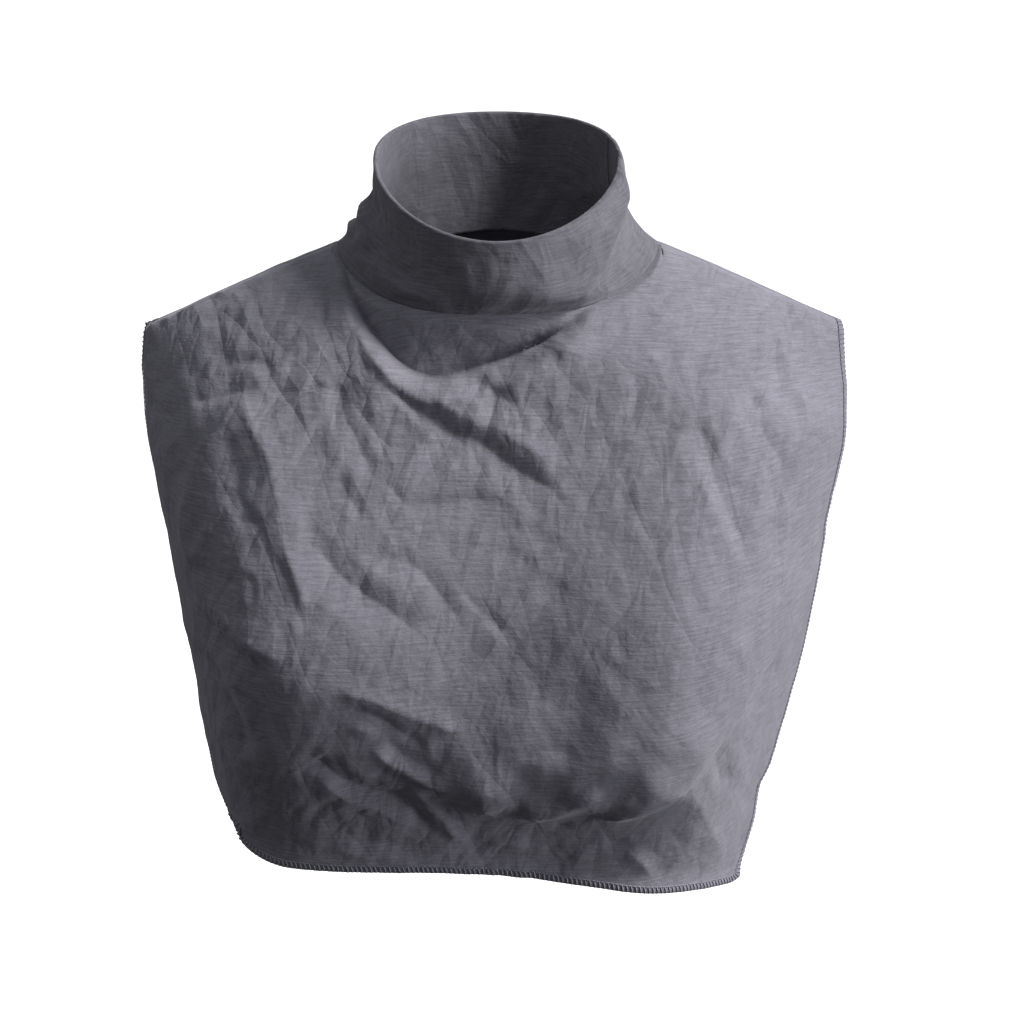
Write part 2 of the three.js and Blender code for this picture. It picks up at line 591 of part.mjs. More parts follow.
const frontGrid = bibGrid(FRONT);
const backGrid = bibGrid(BACK);
const dickey = new THREE.Group();
addPiece(dickey, "front_panel", clothGeometry(frontGrid, CLOTH), jersey);
addPiece(dickey, "back_panel", clothGeometry(backGrid, CLOTH), jersey);
addPiece(dickey, "collar", bandGeometry(), bandJersey);
addPiece(dickey, "front_edging", edgingGeometry(FRONT, frontGrid), thread);
addPiece(dickey, "back_edging", edgingGeometry(BACK, backGrid), thread);

export default dickey;
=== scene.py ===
"""A turtleneck dickey in the form it has when it is worn: two panels of fine jersey, a doubled band
collar and overlocked edges, on a plain pale floor."""

import math

import bpy
import numpy as np
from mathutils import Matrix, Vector
from mathutils.bvhtree import BVHTree


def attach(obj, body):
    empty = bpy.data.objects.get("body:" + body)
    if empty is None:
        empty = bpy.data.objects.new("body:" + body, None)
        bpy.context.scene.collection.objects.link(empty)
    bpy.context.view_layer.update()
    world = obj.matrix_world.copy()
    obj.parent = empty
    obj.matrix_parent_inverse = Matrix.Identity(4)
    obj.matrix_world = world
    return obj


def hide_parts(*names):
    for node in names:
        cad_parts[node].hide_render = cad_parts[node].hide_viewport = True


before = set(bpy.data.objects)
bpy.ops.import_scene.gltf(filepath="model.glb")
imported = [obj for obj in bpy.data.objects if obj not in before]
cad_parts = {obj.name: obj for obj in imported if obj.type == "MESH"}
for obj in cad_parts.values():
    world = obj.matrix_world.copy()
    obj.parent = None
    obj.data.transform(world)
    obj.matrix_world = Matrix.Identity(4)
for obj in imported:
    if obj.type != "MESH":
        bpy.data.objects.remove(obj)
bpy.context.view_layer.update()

MM = 0.001

# Cloth and seams
CLOTH = 0.9 * MM  # one layer of jersey
BAND_WALL = 2.6 * MM  # two layers of the collar band, with the air between them
EDGE_THREAD = 0.6 * MM  # overlock thread
EDGE_WIDTH = 3.2 * MM  # from the cut edge to the overlock's needle line
STITCH_PITCH = 2.5 * MM
STITCH_STEPS = 4

# Neckline and collar band
NECK_WIDTH = 168 * MM
NECK_INSET = 1.2 * MM  # the panels' cut edge, outside the middle of the band
RIM_WIDTH = 127 * MM
RIM_FRONT = 76 * MM  # how far the rim comes forward, and the next back
RIM_BACK = 60 * MM
RIM_SIDE_HEIGHT = 44 * MM  # above the neck points, as the next two
RIM_FRONT_HEIGHT = 16 * MM
RIM_BACK_HEIGHT = 56 * MM
BAND_SEAT = 1.5 * MM  # from the neckline down to the band's lower edge
BAND_FLARE = 3.4  # the higher, the lower down the band spreads to the neckline
BAND_TURN = 430 * MM  # once round, and the next the height, for the places of its folds
BAND_DROP = 62 * MM
BAND_SEAM = 0.305  # the band's own seam, as a share of the turn

# Panels
SHOULDER_WIDTH = 382 * MM
SHOULDER_DROP = 46 * MM  # from the neck points down to the tips
SHOULDER_FALL = 58 * MM  # height over which the cloth turns from the shoulders to the chest
SHOULDER_BEND = 1.5  # 2 would turn it in a quarter of an ellipse, and 1 in a straight slope
SHOULDER_STRETCH = 1.9  # length of that turn along the cloth, in SHOULDER_FALLs
NECK_ROUNDING = 40 * MM
HEM_SWEEP = 2.8  # 1 would lower the hem evenly from left to right, and more lowers it late
SEAM_GAP = 0.3 * MM
BUST_SHARE = 0.45  # where the cloth stands out most, as a share of half the width
SPREAD_SHARE = 0.5  # share of the rows in which the columns spread to the panel's width
EASE_PASSES = 160  # rounds off the turn from the shoulders to the chest
NECKLINE_PASSES = 8  # find how far over the shoulder the neckline lies
WIDTH_PASSES = 3  # find how wide the panel is at a point's height
FLAT_STEPS = 25

# Folds
FOLD_DROP = 325 * MM
FOLD_CLEAR = 1 * MM  # no fold within this distance of a panel's top edge
FOLD_START = 9 * MM  # and from here on they rise in full
FOLD_SIDE = 1.8  # how far a fold's straight sides run, in its own widths
FOLD_FOOT = 1.3  # 1 would end them in a sharp foot
FOLD_REACH = 2.6  # past this many widths nothing is left of a fold
FOLD_ROUND = (11, 24)  # width of the narrower side from which a fold is rounded, up to a round one's
FOLD_SLENDER = 0.45  # how much of their rise the narrowest folds keep
FOLD_STOUT = (5, 19)  # both widths together, of the narrowest folds and of those that keep all
FOLD_TAPER = (0.12, 0.5)  # least and most of a fold's length that each of its ends takes
FOLD_END_WIDTH = 0.6
FOLD_WANDER = 1.6 * MM  # how far a fold strays from its smooth path
WANDER_CELL = 17 * MM
WANDER_SEED = 5
WANDER_FULL = 15  # folds with less width in all stray less
FOLD_SWELL = 0.35  # how much a fold's rise differs along it
SWELL_CELL = 1.6 * WANDER_CELL
SWELL_SEED = 9
PATH_STEPS = 8

# Small creases between the folds, and the faces of crumpled cloth, in sets of three: two that cross,
# and a finer one. Each has its cell as a share of the cell's size, a stretch, a lean and a seed.
CRUMPLE = 0.55 * MM
CRUMPLE_CELL = 15 * MM
CREASE_SETS = [(1, 2.4, -0.65, 31), (1, 2.8, 0.25, 57), (0.55, 1.8, -0.4, 83)]
FACET = 1.7 * MM
FACET_CELL = 27 * MM
FACET_SETS = [(1, 2.2, -0.7, 11), (1, 2.6, 0.2, 12), (0.45, 1.6, -0.3, 13)]
FINE_SHARE = 0.4
CREASE_BEND = (2.3, 0.7)  # how long the swells are that bend the creases, and how strong, in cells
FACET_BEND = (1.8, 0.45)
CREASE_SLOPE = 2.6
CREASE_PATCHES = (1.7, 0.55, 0.45)  # cells between stronger and weaker patches, their mean and swing
FACET_CENTRES = (0.1, 0.9)
FACET_TIP = 0.02  # rounds the middle of a face
SETS_MEET = (-50, 60)  # places across between which one set gives way to the other
SETS_SHIFT = 25
NOISE_CELLS = 64  # the noise repeats after this many cells
NOISE_GAIN = 1.4
BAND_CRUMPLE = 0.6 * MM
BAND_CREASES = (2.2, -0.9, 17)
BAND_CRUMPLED = 0.6

# Edges
HEM_FLIP = 4.2 * MM  # how far the hem stands out again
HEM_FLIP_REACH = 7 * MM
SEAM_SINK = 1.4 * MM  # how deep the seams lie in the cloth
SEAM_REACH = 3 * MM
EDGE_INSET = EDGE_THREAD
EDGE_EASE_PASSES = 12

HALF_NECK = NECK_WIDTH / 2
HALF_SHOULDER = SHOULDER_WIDTH / 2
ROUND_LENGTH = SHOULDER_FALL * SHOULDER_STRETCH

# A hundredth of the way across and down, the unit of the places below
PANEL_UNIT = np.array([HALF_SHOULDER, FOLD_DROP]) / 100
BAND_UNIT = np.array([BAND_TURN, BAND_DROP]) / 100


def table(names, rows):
    """A table as arrays by column name."""
    return {name: np.array(column, float) for name, column in zip(names.split(), zip(*rows))}


# The panels from the neck points down, as in the frame's solids: down as a share of the length, half
# widths as shares of half SHOULDER_WIDTH, and depths as shares of the reach.
FRONT_STATIONS = table("down left right middle bust left_edge right_edge", [
    (0.0, 0.99, 0.965, 0.54, 0.5, 0.04, 0.1),
    (0.18, 0.985, 0.97, 0.6, 0.58, 0.03, 0.14),
    (0.3, 0.99, 0.97, 0.7, 0.71, 0.0, 0.18),
    (0.43, 0.958, 0.928, 0.83, 0.87, -0.03, 0.2),
    (0.55, 0.922, 0.908, 0.92, 0.98, -0.04, 0.21),
    (0.67, 0.892, 0.879, 0.95, 1.0, -0.01, 0.22),
    (0.78, 0.867, 0.839, 0.91, 0.94, 0.07, 0.24),
    (0.89, 0.835, 0.795, 0.79, 0.81, 0.18, 0.27),
    (1.0, 0.8, 0.745, 0.7, 0.72, 0.32, 0.32),
    (1.11, 0.79, 0.7, 0.66, 0.68, 0.36, 0.36),
])
BACK_STATIONS = table("down left right middle bust left_edge right_edge", [
    (0.0, 0.97, 0.95, 0.82, 0.72, 0.2, 0.2),
    (0.18, 0.96, 0.94, 0.9, 0.9, 0.27, 0.27),
    (0.38, 0.93, 0.9, 0.95, 1.0, 0.34, 0.34),
    (0.65, 0.85, 0.83, 0.93, 0.97, 0.4, 0.4),
    (1.0, 0.74, 0.7, 0.84, 0.86, 0.45, 0.45),
])

# Folds of the front panel: rise, and widths to the left and the right of the way along, in mm, and the
# places that each passes, across and down in turn, in PANEL_UNIT. Light comes from above and the right,
# so the side of a fold that faces down or to the left is in the shade.
FRONT_FOLDS = [
    # The line over the bust from which the cloth turns in
    (1.6, 24, 16, [-80, 49, -68, 54.5, -54, 58.5, -40, 61, -22, 64, -5, 67.5]),
    (13, 42, 20, [-30, 71, -8, 76.5, 12, 79, 30, 78.5, 46, 75, 66, 66]),
    # The roll that comes down from the left neck point and over the chest, and the pocket beneath it
    (3, 9, 6, [-41, 2, -37, 6, -32.5, 10, -26, 14.2, -20, 17, -13, 20, -7, 21.8, -1, 22.8, 6, 25, 12, 28,
               17, 30.5]),
    (-2.8, 3.5, 9, [-31, 16.5, -24, 19.5, -17, 21.5, -12, 23.5, -4.5, 25, 1, 27.2, 7, 29.5, 14.5, 31.5,
                    17, 33]),
    (2, 4, 4, [-29, 18.5, -24, 21, -15, 26]),
    (-1.8, 3, 3.5, [-16, 24, -14.5, 27]),
    (-1.6, 2.5, 3, [15, 32, 17.5, 34.5]),
    (-1.4, 2, 3, [2, 26.5, 0, 28.5, -3, 29]),
    # Under the right branch of the hollow
    (-4, 3.5, 7, [-10, 15.8, -3, 16.8, 1, 18.7, 5.5, 20.5]),
    (-3.2, 3, 5, [5, 13.7, 12, 13.2, 18, 11.5]),
    (-1.8, 2.2, 3.5, [15, 9.2, 22, 8.5, 25, 10]),
    (-1.4, 2.2, 3, [19, 8, 24, 6.8]),
    (1.6, 5, 4, [-10, 19, -5, 20, 0, 21.5]),
    (-1.6, 3, 4, [-18, 11, -10, 10, -3, 8.5]),
    # Left of the neck
    (-3, 3, 3, [-41, 2, -38.5, 8, -36.5, 11.5, -33.5, 16.5]),
    (-1.8, 2.5, 2.5, [-34.5, 10, -32.5, 13.5, -31.6, 16.5, -29.6, 18.5]),
    (-2.6, 3.5, 5, [-42, 16, -40, 21.5, -37, 24.5, -34.5, 27.5, -30, 28.3]),
    (-1.8, 2.2, 3.5, [-30, 30.2, -26.5, 32.2, -23.5, 34.2]),
    (-2.2, 3, 7, [-25, 34.5, -16, 33.8, -8, 33.5, 2, 34]),
    (-1.8, 3, 4, [-42, 29, -38.5, 33, -35, 36]),
    (-1.2, 2.5, 3, [17, 32.5, 20, 30.5, 22.5, 29]),
    (-1.2, 2.5, 3, [20, 31, 25, 33.5]),
    (-1.2, 2, 3, [-52, 9, -45.5, 10.3, -39, 12]),
    (-1.6, 2, 2.5, [-46.5, 2, -46.5, 6, -46, 10]),
    (-1, 2, 2, [-56.5, 6, -57.5, 10]),
    # Creases of the left shoulder
    (-2.6, 2.5, 3.5, [-74.5, 16.5, -71, 15.7, -66, 15.2, -61.5, 15.3, -59, 16.8]),
    (1.2, 2, 2, [-70, 16.6, -63, 16.3]),
    (-2.2, 2, 3, [-63, 17, -66, 18.7, -71, 19.5, -76, 20.7, -82, 21.7]),
    (-2.6, 2.2, 3.5, [-64, 20, -61.5, 19.2, -58, 18.6, -52.5, 18.3, -45.5, 17]),
    (2, 2.5, 6, [-57, 10.5, -66, 13.7, -71, 15.2]),
    (-1.6, 2.5, 3, [-79, 13.5, -75, 15, -72.5, 15.5]),
    (-1.4, 2, 3, [-81, 12, -75, 11.5, -68, 10.7]),
    (-1, 2, 2.5, [-77, 9.5, -70, 9]),
    (-1.6, 2.5, 3, [-85, 16, -88.5, 19, -92, 22.5]),
    (-1.6, 2.5, 3, [-94, 18.5, -97, 21.5]),
    (-2.2, 2.5, 4.5, [-98, 24, -92, 24.5, -85.5, 23.5]),
    (1.2, 5, 5, [-102, 20, -95, 21, -89, 20]),
    # The tent that opens from a point under them
    (3, 10, 4, [-65, 19, -72, 23.2, -77, 28, -81.5, 33.5, -83.5, 40, -81, 46.5]),
    (3.8, 11, 9, [-68, 18, -66.5, 20.8, -63, 24.5, -60, 28, -58.5, 32.5, -57, 36, -55, 40, -52, 44.5,
                  -49, 49]),
    (-1.8, 3, 5, [-70, 23.5, -69, 29, -67.5, 33, -62, 36.6, -58, 41, -53, 44.5]),
    (-1.8, 2, 3, [-69, 36.5, -65, 36.2, -60.5, 37]),
    (2, 5, 2.2, [-70, 33, -74, 37, -78.5, 42]),
    (-1.6, 2.5, 3, [-59, 25.8, -55, 24.5]),
    (-1.8, 2.5, 3.5, [-67, 43.5, -64, 45, -63, 48]),
    (-1.4, 2.5, 3, [-74, 44, -70, 45.5, -66, 45]),
    (-2, 3, 4, [-57, 42, -53, 46, -50, 51]),
    # Where the tent lies on the bust, and the gathers drawn in at the side
    (2.6, 7, 4, [-79, 47.5, -72, 50.5, -66.5, 53, -60, 55, -54, 56]),
    (-4, 3.5, 12, [-80, 51, -73, 54, -68, 55.5, -60, 58.5]),
    (-3.6, 5, 9, [-77, 57, -73, 63, -69, 69, -66, 76]),
    (2, 3.5, 3, [-70, 60, -65, 63]),
    (-1.6, 2.5, 2.5, [-69, 61.5, -66, 64.5]),
    (2, 3.5, 2.5, [-67, 65.5, -64.5, 70]),
    (2, 3.5, 2.5, [-75, 62, -71, 65]),
    (2.4, 4, 3, [-75, 70, -70, 75]),
    # Across the chest
    (-2.6, 6, 10, [-51, 37.5, -44, 41.5, -35, 46, -26.5, 49, -20, 53]),
    (-2.4, 4, 5, [-32.5, 41.5, -23.5, 42, -16.5, 45.5, -11.5, 49, -9.5, 52]),
    (-1.8, 3, 3.5, [-10, 45.5, -4.5, 49, 2.5, 53]),
    (-2, 6, 8, [9, 48, 19, 44.5]),
    (-1.2, 3, 5, [-6, 38, 6, 37.5, 17, 40]),
    (-1.2, 4, 5, [-12, 40, -2, 40.5, 8, 41.5]),
    (-1.4, 3, 3, [5, 42, 9, 42.5]),
    # Long folds at the right
    (-1.4, 4, 5, [50, 12, 52.5, 16.5, 55, 19]),
    (-3, 3.5, 7, [51, 22, 54.5, 24.5, 56, 28, 59.5, 34, 64, 39.5, 68, 44]),
    (2.2, 7, 4, [51, 29, 57, 35, 60, 39.5, 62.5, 44]),
    (-1.2, 3, 4, [49.5, 30, 53, 33]),
    (-3, 3.5, 7, [66, 18.5, 69.5, 22, 72, 26.5, 75.5, 30, 76.5, 34, 74.5, 39]),
    (-2.6, 4.5, 6, [75.5, 38, 74, 42, 73.5, 46, 70, 49.5, 66.5, 52, 63, 57]),
    (-1, 3, 3.5, [73.5, 11.5, 75, 16.5, 76.5, 21]),
    (-2.2, 2.5, 4, [80, 21, 81.5, 27, 80.5, 30.5]),
    (-0.9, 3, 3, [82.5, 28.5, 81, 32.5]),
    (-1, 3, 3, [76.5, 41.5, 79, 44.5]),
    (-1.1, 3, 3, [80.5, 49, 78, 52.5]),
    (-1, 3, 3, [74.5, 52.5, 75, 56]),
    (-1.2, 3.5, 5, [31, 31, 34, 33.5, 37, 35.5]),
    (1, 5, 5, [33, 33.5, 38.5, 39.5]),
    (0.9, 5, 5, [43, 34, 46.5, 40]),
    (-1.1, 3, 4, [30.5, 51.5, 35, 56]),
    (-0.7, 5, 5, [36, 8, 36.5, 17, 36, 26]),
    (-0.7, 5, 5, [45, 10, 46, 18, 45, 26]),
    # Lower left, under the bust
    (2.6, 7, 4, [-42, 60, -32, 62, -26.5, 64, -19, 66, -9, 67.5]),
    (-3, 3, 7, [-42, 63.5, -32, 65, -25, 68, -18, 70.5]),
    (2.4, 5, 4, [-40, 67, -30, 67.2]),
    (-4.4, 5, 9, [-52, 71, -42, 77, -31, 80.5, -23, 85, -18, 89.5]),
    (3.6, 9, 5, [-51, 75.5, -40, 81, -30, 85, -22, 89.5]),
    (-3, 4, 6, [-46, 70, -41, 75, -39, 78.5]),
    (4, 6, 4, [-34, 70.5, -27, 74, -20, 76.5, -12, 77.5]),
    (-3, 4, 5, [-30, 69, -23, 73, -14, 75]),
    (4, 7, 5, [-25, 77.5, -19, 82, -14, 87, -9, 93]),
    (-2.6, 5, 5, [-21, 79, -14, 85, -9, 88]),
    (2.6, 6, 5, [-6, 79, -2, 83, 1, 86]),
    (-2.4, 6, 6, [-42, 91, -30, 92.5, -18, 93]),
    (2, 5, 4, [-46, 93, -36, 94.5, -25, 95]),
    # Lower middle and right
    (-1.8, 4, 6, [4, 72, 10, 70.8, 15.5, 70.3, 20, 71, 23, 72.5]),
    (-1.2, 3, 4, [30, 70, 38, 70.6]),
    (-2.4, 5, 8, [0, 78.5, 10, 79, 17.5, 78, 25, 75, 29.5, 72]),
    (3, 8, 8, [2, 82, 10, 83, 20, 80, 30, 75.5]),
    (-2.4, 4, 4, [36, 76.5, 39, 78.5]),
    (3, 9, 8, [26, 84, 36, 81.5, 45, 80]),
    (-2.4, 4, 5, [29, 91, 34, 92.5, 39, 93]),
    (2.4, 5, 4, [35, 93.5, 40, 96.5, 43, 100]),
    (2.4, 5, 4, [-4, 93, 3, 92.5, 10, 94]),
    (-2.2, 4, 4, [14, 86.5, 21.5, 89]),
    (-2, 4, 6, [5, 96, 15, 96.5, 24, 95]),
    # Right corner of the hem, which flares out
    (4.6, 13, 19, [49, 77, 53, 83, 57, 90, 61, 97, 64, 105]),
    (-3, 5, 4, [56, 72, 59, 77, 61, 82, 61.5, 85]),
    (-1.6, 3, 4, [62, 83, 67, 85]),
    (-3.4, 5, 8, [64, 71.5, 70, 69, 77, 62]),
    (-2.4, 12, 10, [66, 93, 72, 92.5, 84, 91]),
]
BACK_FOLDS = [
    (2.5, 14, 10, [-30, 5, 0, 11, 30, 5]),
    (3, 11, 11, [-75, 25, -60, 42, -50, 62]),
    (3, 11, 11, [72, 22, 60, 40, 48, 60]),
    (3.5, 12, 12, [-25, 62, -32, 105]),
    (3.5, 12, 12, [20, 66, 27, 105]),
]

# Bottom of the hollow that the cloth falls into under the band, in PANEL_UNIT, and how far in it falls
HOLLOW_LINE = [-44, 0, -38, 6, -31, 10.5, -23.5, 14.5, -17, 15.7, -10, 15, -3, 13.9, 4, 12.7, 10, 10.8,
               16, 8.7, 22, 6.9, 30, 4.5, 40, 1, 44, -2]
HOLLOW_DEPTH = 17 * MM
HOLLOW_LEDGE = 13 * MM  # over which the cloth comes out again
HOLLOW_BEND = 1.6  # 1 would make the ledge a straight slope
HOLLOW_FULL = 15 * MM  # a stretch this long from band to line lets it fall in all the way

# How crumpled the cloth is, and where the front is more so: a place and a reach across and down, all in
# PANEL_UNIT, and how much more
CRUMPLED_ALL = 0.55
CRUMPLED = table("across down wide high more", [
    (-65, 13, 30, 10, 0.9),
    (-72, 50, 20, 20, 0.7),
    (-33, 20, 15, 20, 0.5),
    (5, 20, 25, 10, 0.6),
    (-30, 84, 35, 13, 0.7),
    (30, 70, 40, 8, -0.35),
    (72, 35, 20, 25, 0.5),
])

# Folds of the collar band, as on the panels, with the places from the middle of the front and from the
# rim down in BAND_UNIT
BAND_FOLDS = [
    (7, 6, 6, [-40, 58, -33, 58, -27.5, 60, -22.5, 66, -17, 74]),
    (-4, 4, 4, [-36, 74, -29, 74, -24, 76, -19, 82]),
    (7, 7, 5, [-40, 86, -27, 83, -21, 85, -14, 93, -8, 100]),
    (-3.6, 4.5, 8, [-27, 42, -22, 50, -18, 58, -13, 68, -8.5, 74]),
    (-1.6, 14, 5, [-24, 25, -19, 40, -14, 55, -8, 65]),
    (3.4, 6, 6, [-22, 76, -15, 80, -9, 84, -4, 87]),
    (-1.4, 3, 4, [-11.5, 72, -9, 80, -5.5, 83]),
    (-1, 3, 3, [-8, 68, -5.5, 75]),
    (0.9, 5, 4, [-4.5, 50, -2.5, 68, -1.5, 85]),
    (-0.8, 8, 8, [-16, 25, -10, 38, -5, 45]),
    (6.5, 14, 34, [27, -60, 20.5, 2, 16.5, 35, 12.5, 62, 7, 98, 0, 160]),
    (2.6, 4, 4, [22, -10, 20, 10, 16.5, 38, 12.5, 64, 7, 98, 4, 120]),
    (-3, 4, 5, [21.5, 35, 20, 45, 17, 60, 13.5, 82, 11, 95]),
    (1.2, 6, 5, [23.5, 30, 22, 55, 20, 80]),
    (-1.2, 3.5, 5, [25, 62, 22.5, 80, 20, 93]),
    (-0.9, 6, 6, [5, 50, 8, 62, 10, 72]),
    (1.2, 5, 5, [40, 30, 44, 50, 47, 75]),
    (-1.2, 5, 5, [-42, 35, -45, 60, -47, 85]),
]

FRONT = {
    "facing": -1,  # the way out along y
    "columns": 304, "rows": 252, "neck_share": 20 / 38,  # of the columns, those that meet the neckline
    "neck_reach": 70 * MM, "length": 316 * MM, "reach": 140 * MM,
    "hem_drop": 34 * MM,  # how much lower the hem hangs at the right
    "corners": (42 * MM, 14 * MM),  # left and right, as the next two
    "turns": (0.6, 1.0),  # under 1 the cloth turns away late and sharply at the side
    "flats": (3.2, 2.0),  # 2 turns it evenly to the side, and more keeps it facing forward for longer
    "stations": FRONT_STATIONS, "folds": FRONT_FOLDS,
}
BACK = {
    "facing": 1, "columns": 168, "rows": 144, "neck_share": 16 / 28,
    "neck_reach": 54 * MM, "length": 312 * MM, "reach": 88 * MM, "hem_drop": 0.0,
    "corners": (40 * MM, 40 * MM), "turns": (1.0, 1.0), "flats": (2.0, 2.0),
    "stations": BACK_STATIONS, "folds": BACK_FOLDS,
}


def lerp(a, b, share):
    return a + (b - a) * share


def smoothstep(x, low, high):
    share = np.clip((x - low) / (high - low), 0.0, 1.0)
    return share * share * (3 - 2 * share)


def along_curve(xs, ys, x):
    """A smooth curve through the points xs, ys, with straight ends."""
    steep = np.diff(ys) / np.diff(xs)
    steep = np.concatenate([steep[:1], (steep[1:] + steep[:-1]) / 2, steep[-1:]])
    x = np.clip(x, xs[0], xs[-1])
    i = np.clip(np.searchsorted(xs, x, side="right"), 1, len(xs) - 1)
    run = xs[i] - xs[i - 1]
    share = (x - xs[i - 1]) / run
    level = lerp(ys[i - 1], ys[i], share * share * (3 - 2 * share))
    return level + run * share * (1 - share) * lerp(steep[i - 1], -steep[i], share)


def station(bib, name, z):
    stations = bib["stations"]
    return along_curve(stations["down"], stations[name], -z / bib["length"])


def sided(bib, names, x, z):
    """A station's value on the left or the right, as x says."""
    return np.where(x < 0, *[station(bib, name, z) for name in names])


def shoulder_height(x):
    """Height of the shoulder line, which falls from the neck points to the tips."""
    neck = math.hypot(HALF_NECK, NECK_ROUNDING)
    tip = math.hypot(HALF_SHOULDER, NECK_ROUNDING)
    return -SHOULDER_DROP * (np.hypot(x, NECK_ROUNDING) - neck) / (tip - neck)


def body_depth(bib, x, z):
    """How far a panel stands out from the shoulder line."""
    out = np.abs(x) / (sided(bib, ("left", "right"), x, z) * HALF_SHOULDER)
    middle, bust = station(bib, "middle", z), station(bib, "bust", z)
    near = lerp(middle, bust, smoothstep(out, 0, BUST_SHARE))
    turned = np.clip((out - BUST_SHARE) / (1 - BUST_SHARE), 0.0, 1.0)
    kept = (1 - turned ** np.where(x < 0, *bib["flats"])) ** np.where(x < 0, *bib["turns"])
    far = lerp(sided(bib, ("left_edge", "right_edge"), x, z), bust, kept)
    return bib["reach"] * np.where(out < BUST_SHARE, near, far)


def over_shoulder(turn):
    """How far forward and down the cloth is, as shares, for a share of its turn over the shoulder."""
    angle = np.clip(turn, 0, 1) * math.pi / 2
    return np.sin(angle) ** (2 / SHOULDER_BEND), 1 - np.abs(np.cos(angle)) ** (2 / SHOULDER_BEND)


def hanging_point(bib, x, along):
    """The middle of a panel's cloth at x, along the cloth from the shoulder line, without folds."""
    forward, fall = over_shoulder(along / ROUND_LENGTH)
    z = shoulder_height(x) - SHOULDER_FALL * fall - np.maximum(along - ROUND_LENGTH, 0)
    y = bib["facing"] * (body_depth(bib, x, z) * forward + SEAM_GAP / 2)
    return np.stack(np.broadcast_arrays(x, y, z), -1)


def along_at(x, z):
    """How far along the cloth from the shoulder line a place is."""
    fallen = shoulder_height(x) - z
    left = 1 - np.clip(fallen, 0, SHOULDER_FALL) / SHOULDER_FALL
    curved = ROUND_LENGTH * 2 * np.arccos(left ** (SHOULDER_BEND / 2)) / math.pi
    return np.where(fallen > SHOULDER_FALL, ROUND_LENGTH + fallen - SHOULDER_FALL, curved)


def neckline(bib, angle, inset):
    """A place on the neckline at an angle from the panel's middle, and how far along the cloth it is."""
    x = (HALF_NECK + inset) * np.sin(angle)
    reach = (bib["neck_reach"] + inset) * np.cos(angle)
    turn = np.full_like(x, 0.5)
    for _ in range(NECKLINE_PASSES):
        z = shoulder_height(x) - SHOULDER_FALL * over_shoulder(turn)[1]
        forward = np.clip(reach / body_depth(bib, x, z), 0, 1)
        turn = 2 * np.arcsin(forward ** (SHOULDER_BEND / 2)) / math.pi
    return x, turn * ROUND_LENGTH


def top_edge(bib, column):
    """A panel's edge along the neckline and the shoulders: across, and along the cloth."""
    share = bib["neck_share"]
    neck_x, neck_along = neckline(bib, np.clip(column / share, -1, 1) * math.pi / 2, NECK_INSET)
    tips = [bib["stations"][side][0] * HALF_SHOULDER - EDGE_INSET for side in ("left", "right")]
    beyond = (np.abs(column) - share) / (1 - share)
    seam_x = np.sign(column) * lerp(HALF_NECK + NECK_INSET, np.where(column < 0, *tips), beyond)
    return np.where(beyond < 0, neck_x, seam_x), np.where(beyond < 0, neck_along, 0)


def round_corner(radius, x, z, half_width, hem):
    out = (np.abs(x) - half_width + radius) / radius
    low = (hem + radius - z) / radius
    inside = (out <= 0) | (low <= 0)
    out, low = np.clip(out, 0, 1), np.clip(low, 0, 1)
    drawn = half_width - radius + radius * out * np.sqrt(1 - low * low / 2)
    raised = hem + radius - radius * low * np.sqrt(1 - out * out / 2)
    return np.where(inside, x, np.sign(x) * drawn), np.where(inside, z, raised)


def smooth_bib(bib, column, row):
    """A panel's cloth without folds, at a column from -1 to 1 and a row from 0 at the top to 1."""
    top_x, top_along = top_edge(bib, column)
    spread = smoothstep(row, 0, SPREAD_SHARE)
    hem = EDGE_INSET - bib["length"] - bib["hem_drop"] * ((column + 1) / 2) ** HEM_SWEEP
    x = top_x
    for _ in range(WIDTH_PASSES):
        z = hanging_point(bib, x, lerp(top_along, along_at(x, hem), row))[..., 2]
        half_width = sided(bib, ("left", "right"), column, z) * HALF_SHOULDER - EDGE_INSET / 2
        x = lerp(top_x, column * half_width, spread)
    radius = np.where(column < 0, *bib["corners"]) - EDGE_INSET
    x, z = round_corner(radius, x, z, half_width, hem)
    return hanging_point(bib, x, along_at(x, z))


def path_through(points, unit):
    """A smooth path through a few points, which are given in a unit, as an array of closer ones."""
    points = np.reshape(points, (-1, 2)) * unit
    if len(points) < 3:
        return points
    share = np.arange(len(points), dtype=float)
    fine = np.linspace(0, len(points) - 1, PATH_STEPS * (len(points) - 1) + 1)
    return np.stack([along_curve(share, points[:, k], fine) for k in range(points.shape[1])], -1)


def off_path(path, places):
    """Distance of each place from a path, positive on its right, the share of the way along, and the
    path's length."""
    best = np.full(len(places), np.inf)
    signed = np.zeros(len(places))
    share = np.zeros(len(places))
    steps = np.diff(path, axis=0)
    lengths = np.hypot(steps[:, 0], steps[:, 1])
    run = np.concatenate([[0], np.cumsum(lengths)])
    for start, step, length, before in zip(path[:-1], steps, lengths, run):
        offset = places - start
        along = np.clip(offset @ step / length ** 2, 0, 1)
        off = offset - along[:, None] * step
        distance = np.hypot(off[:, 0], off[:, 1])
        nearer = distance < best
        side = np.sign(step[0] * offset[:, 1] - step[1] * offset[:, 0])
        best = np.where(nearer, distance, best)
        signed = np.where(nearer, side * distance, signed)
        share = np.where(nearer, (before + along * length) / run[-1], share)
    return signed, share, run[-1]


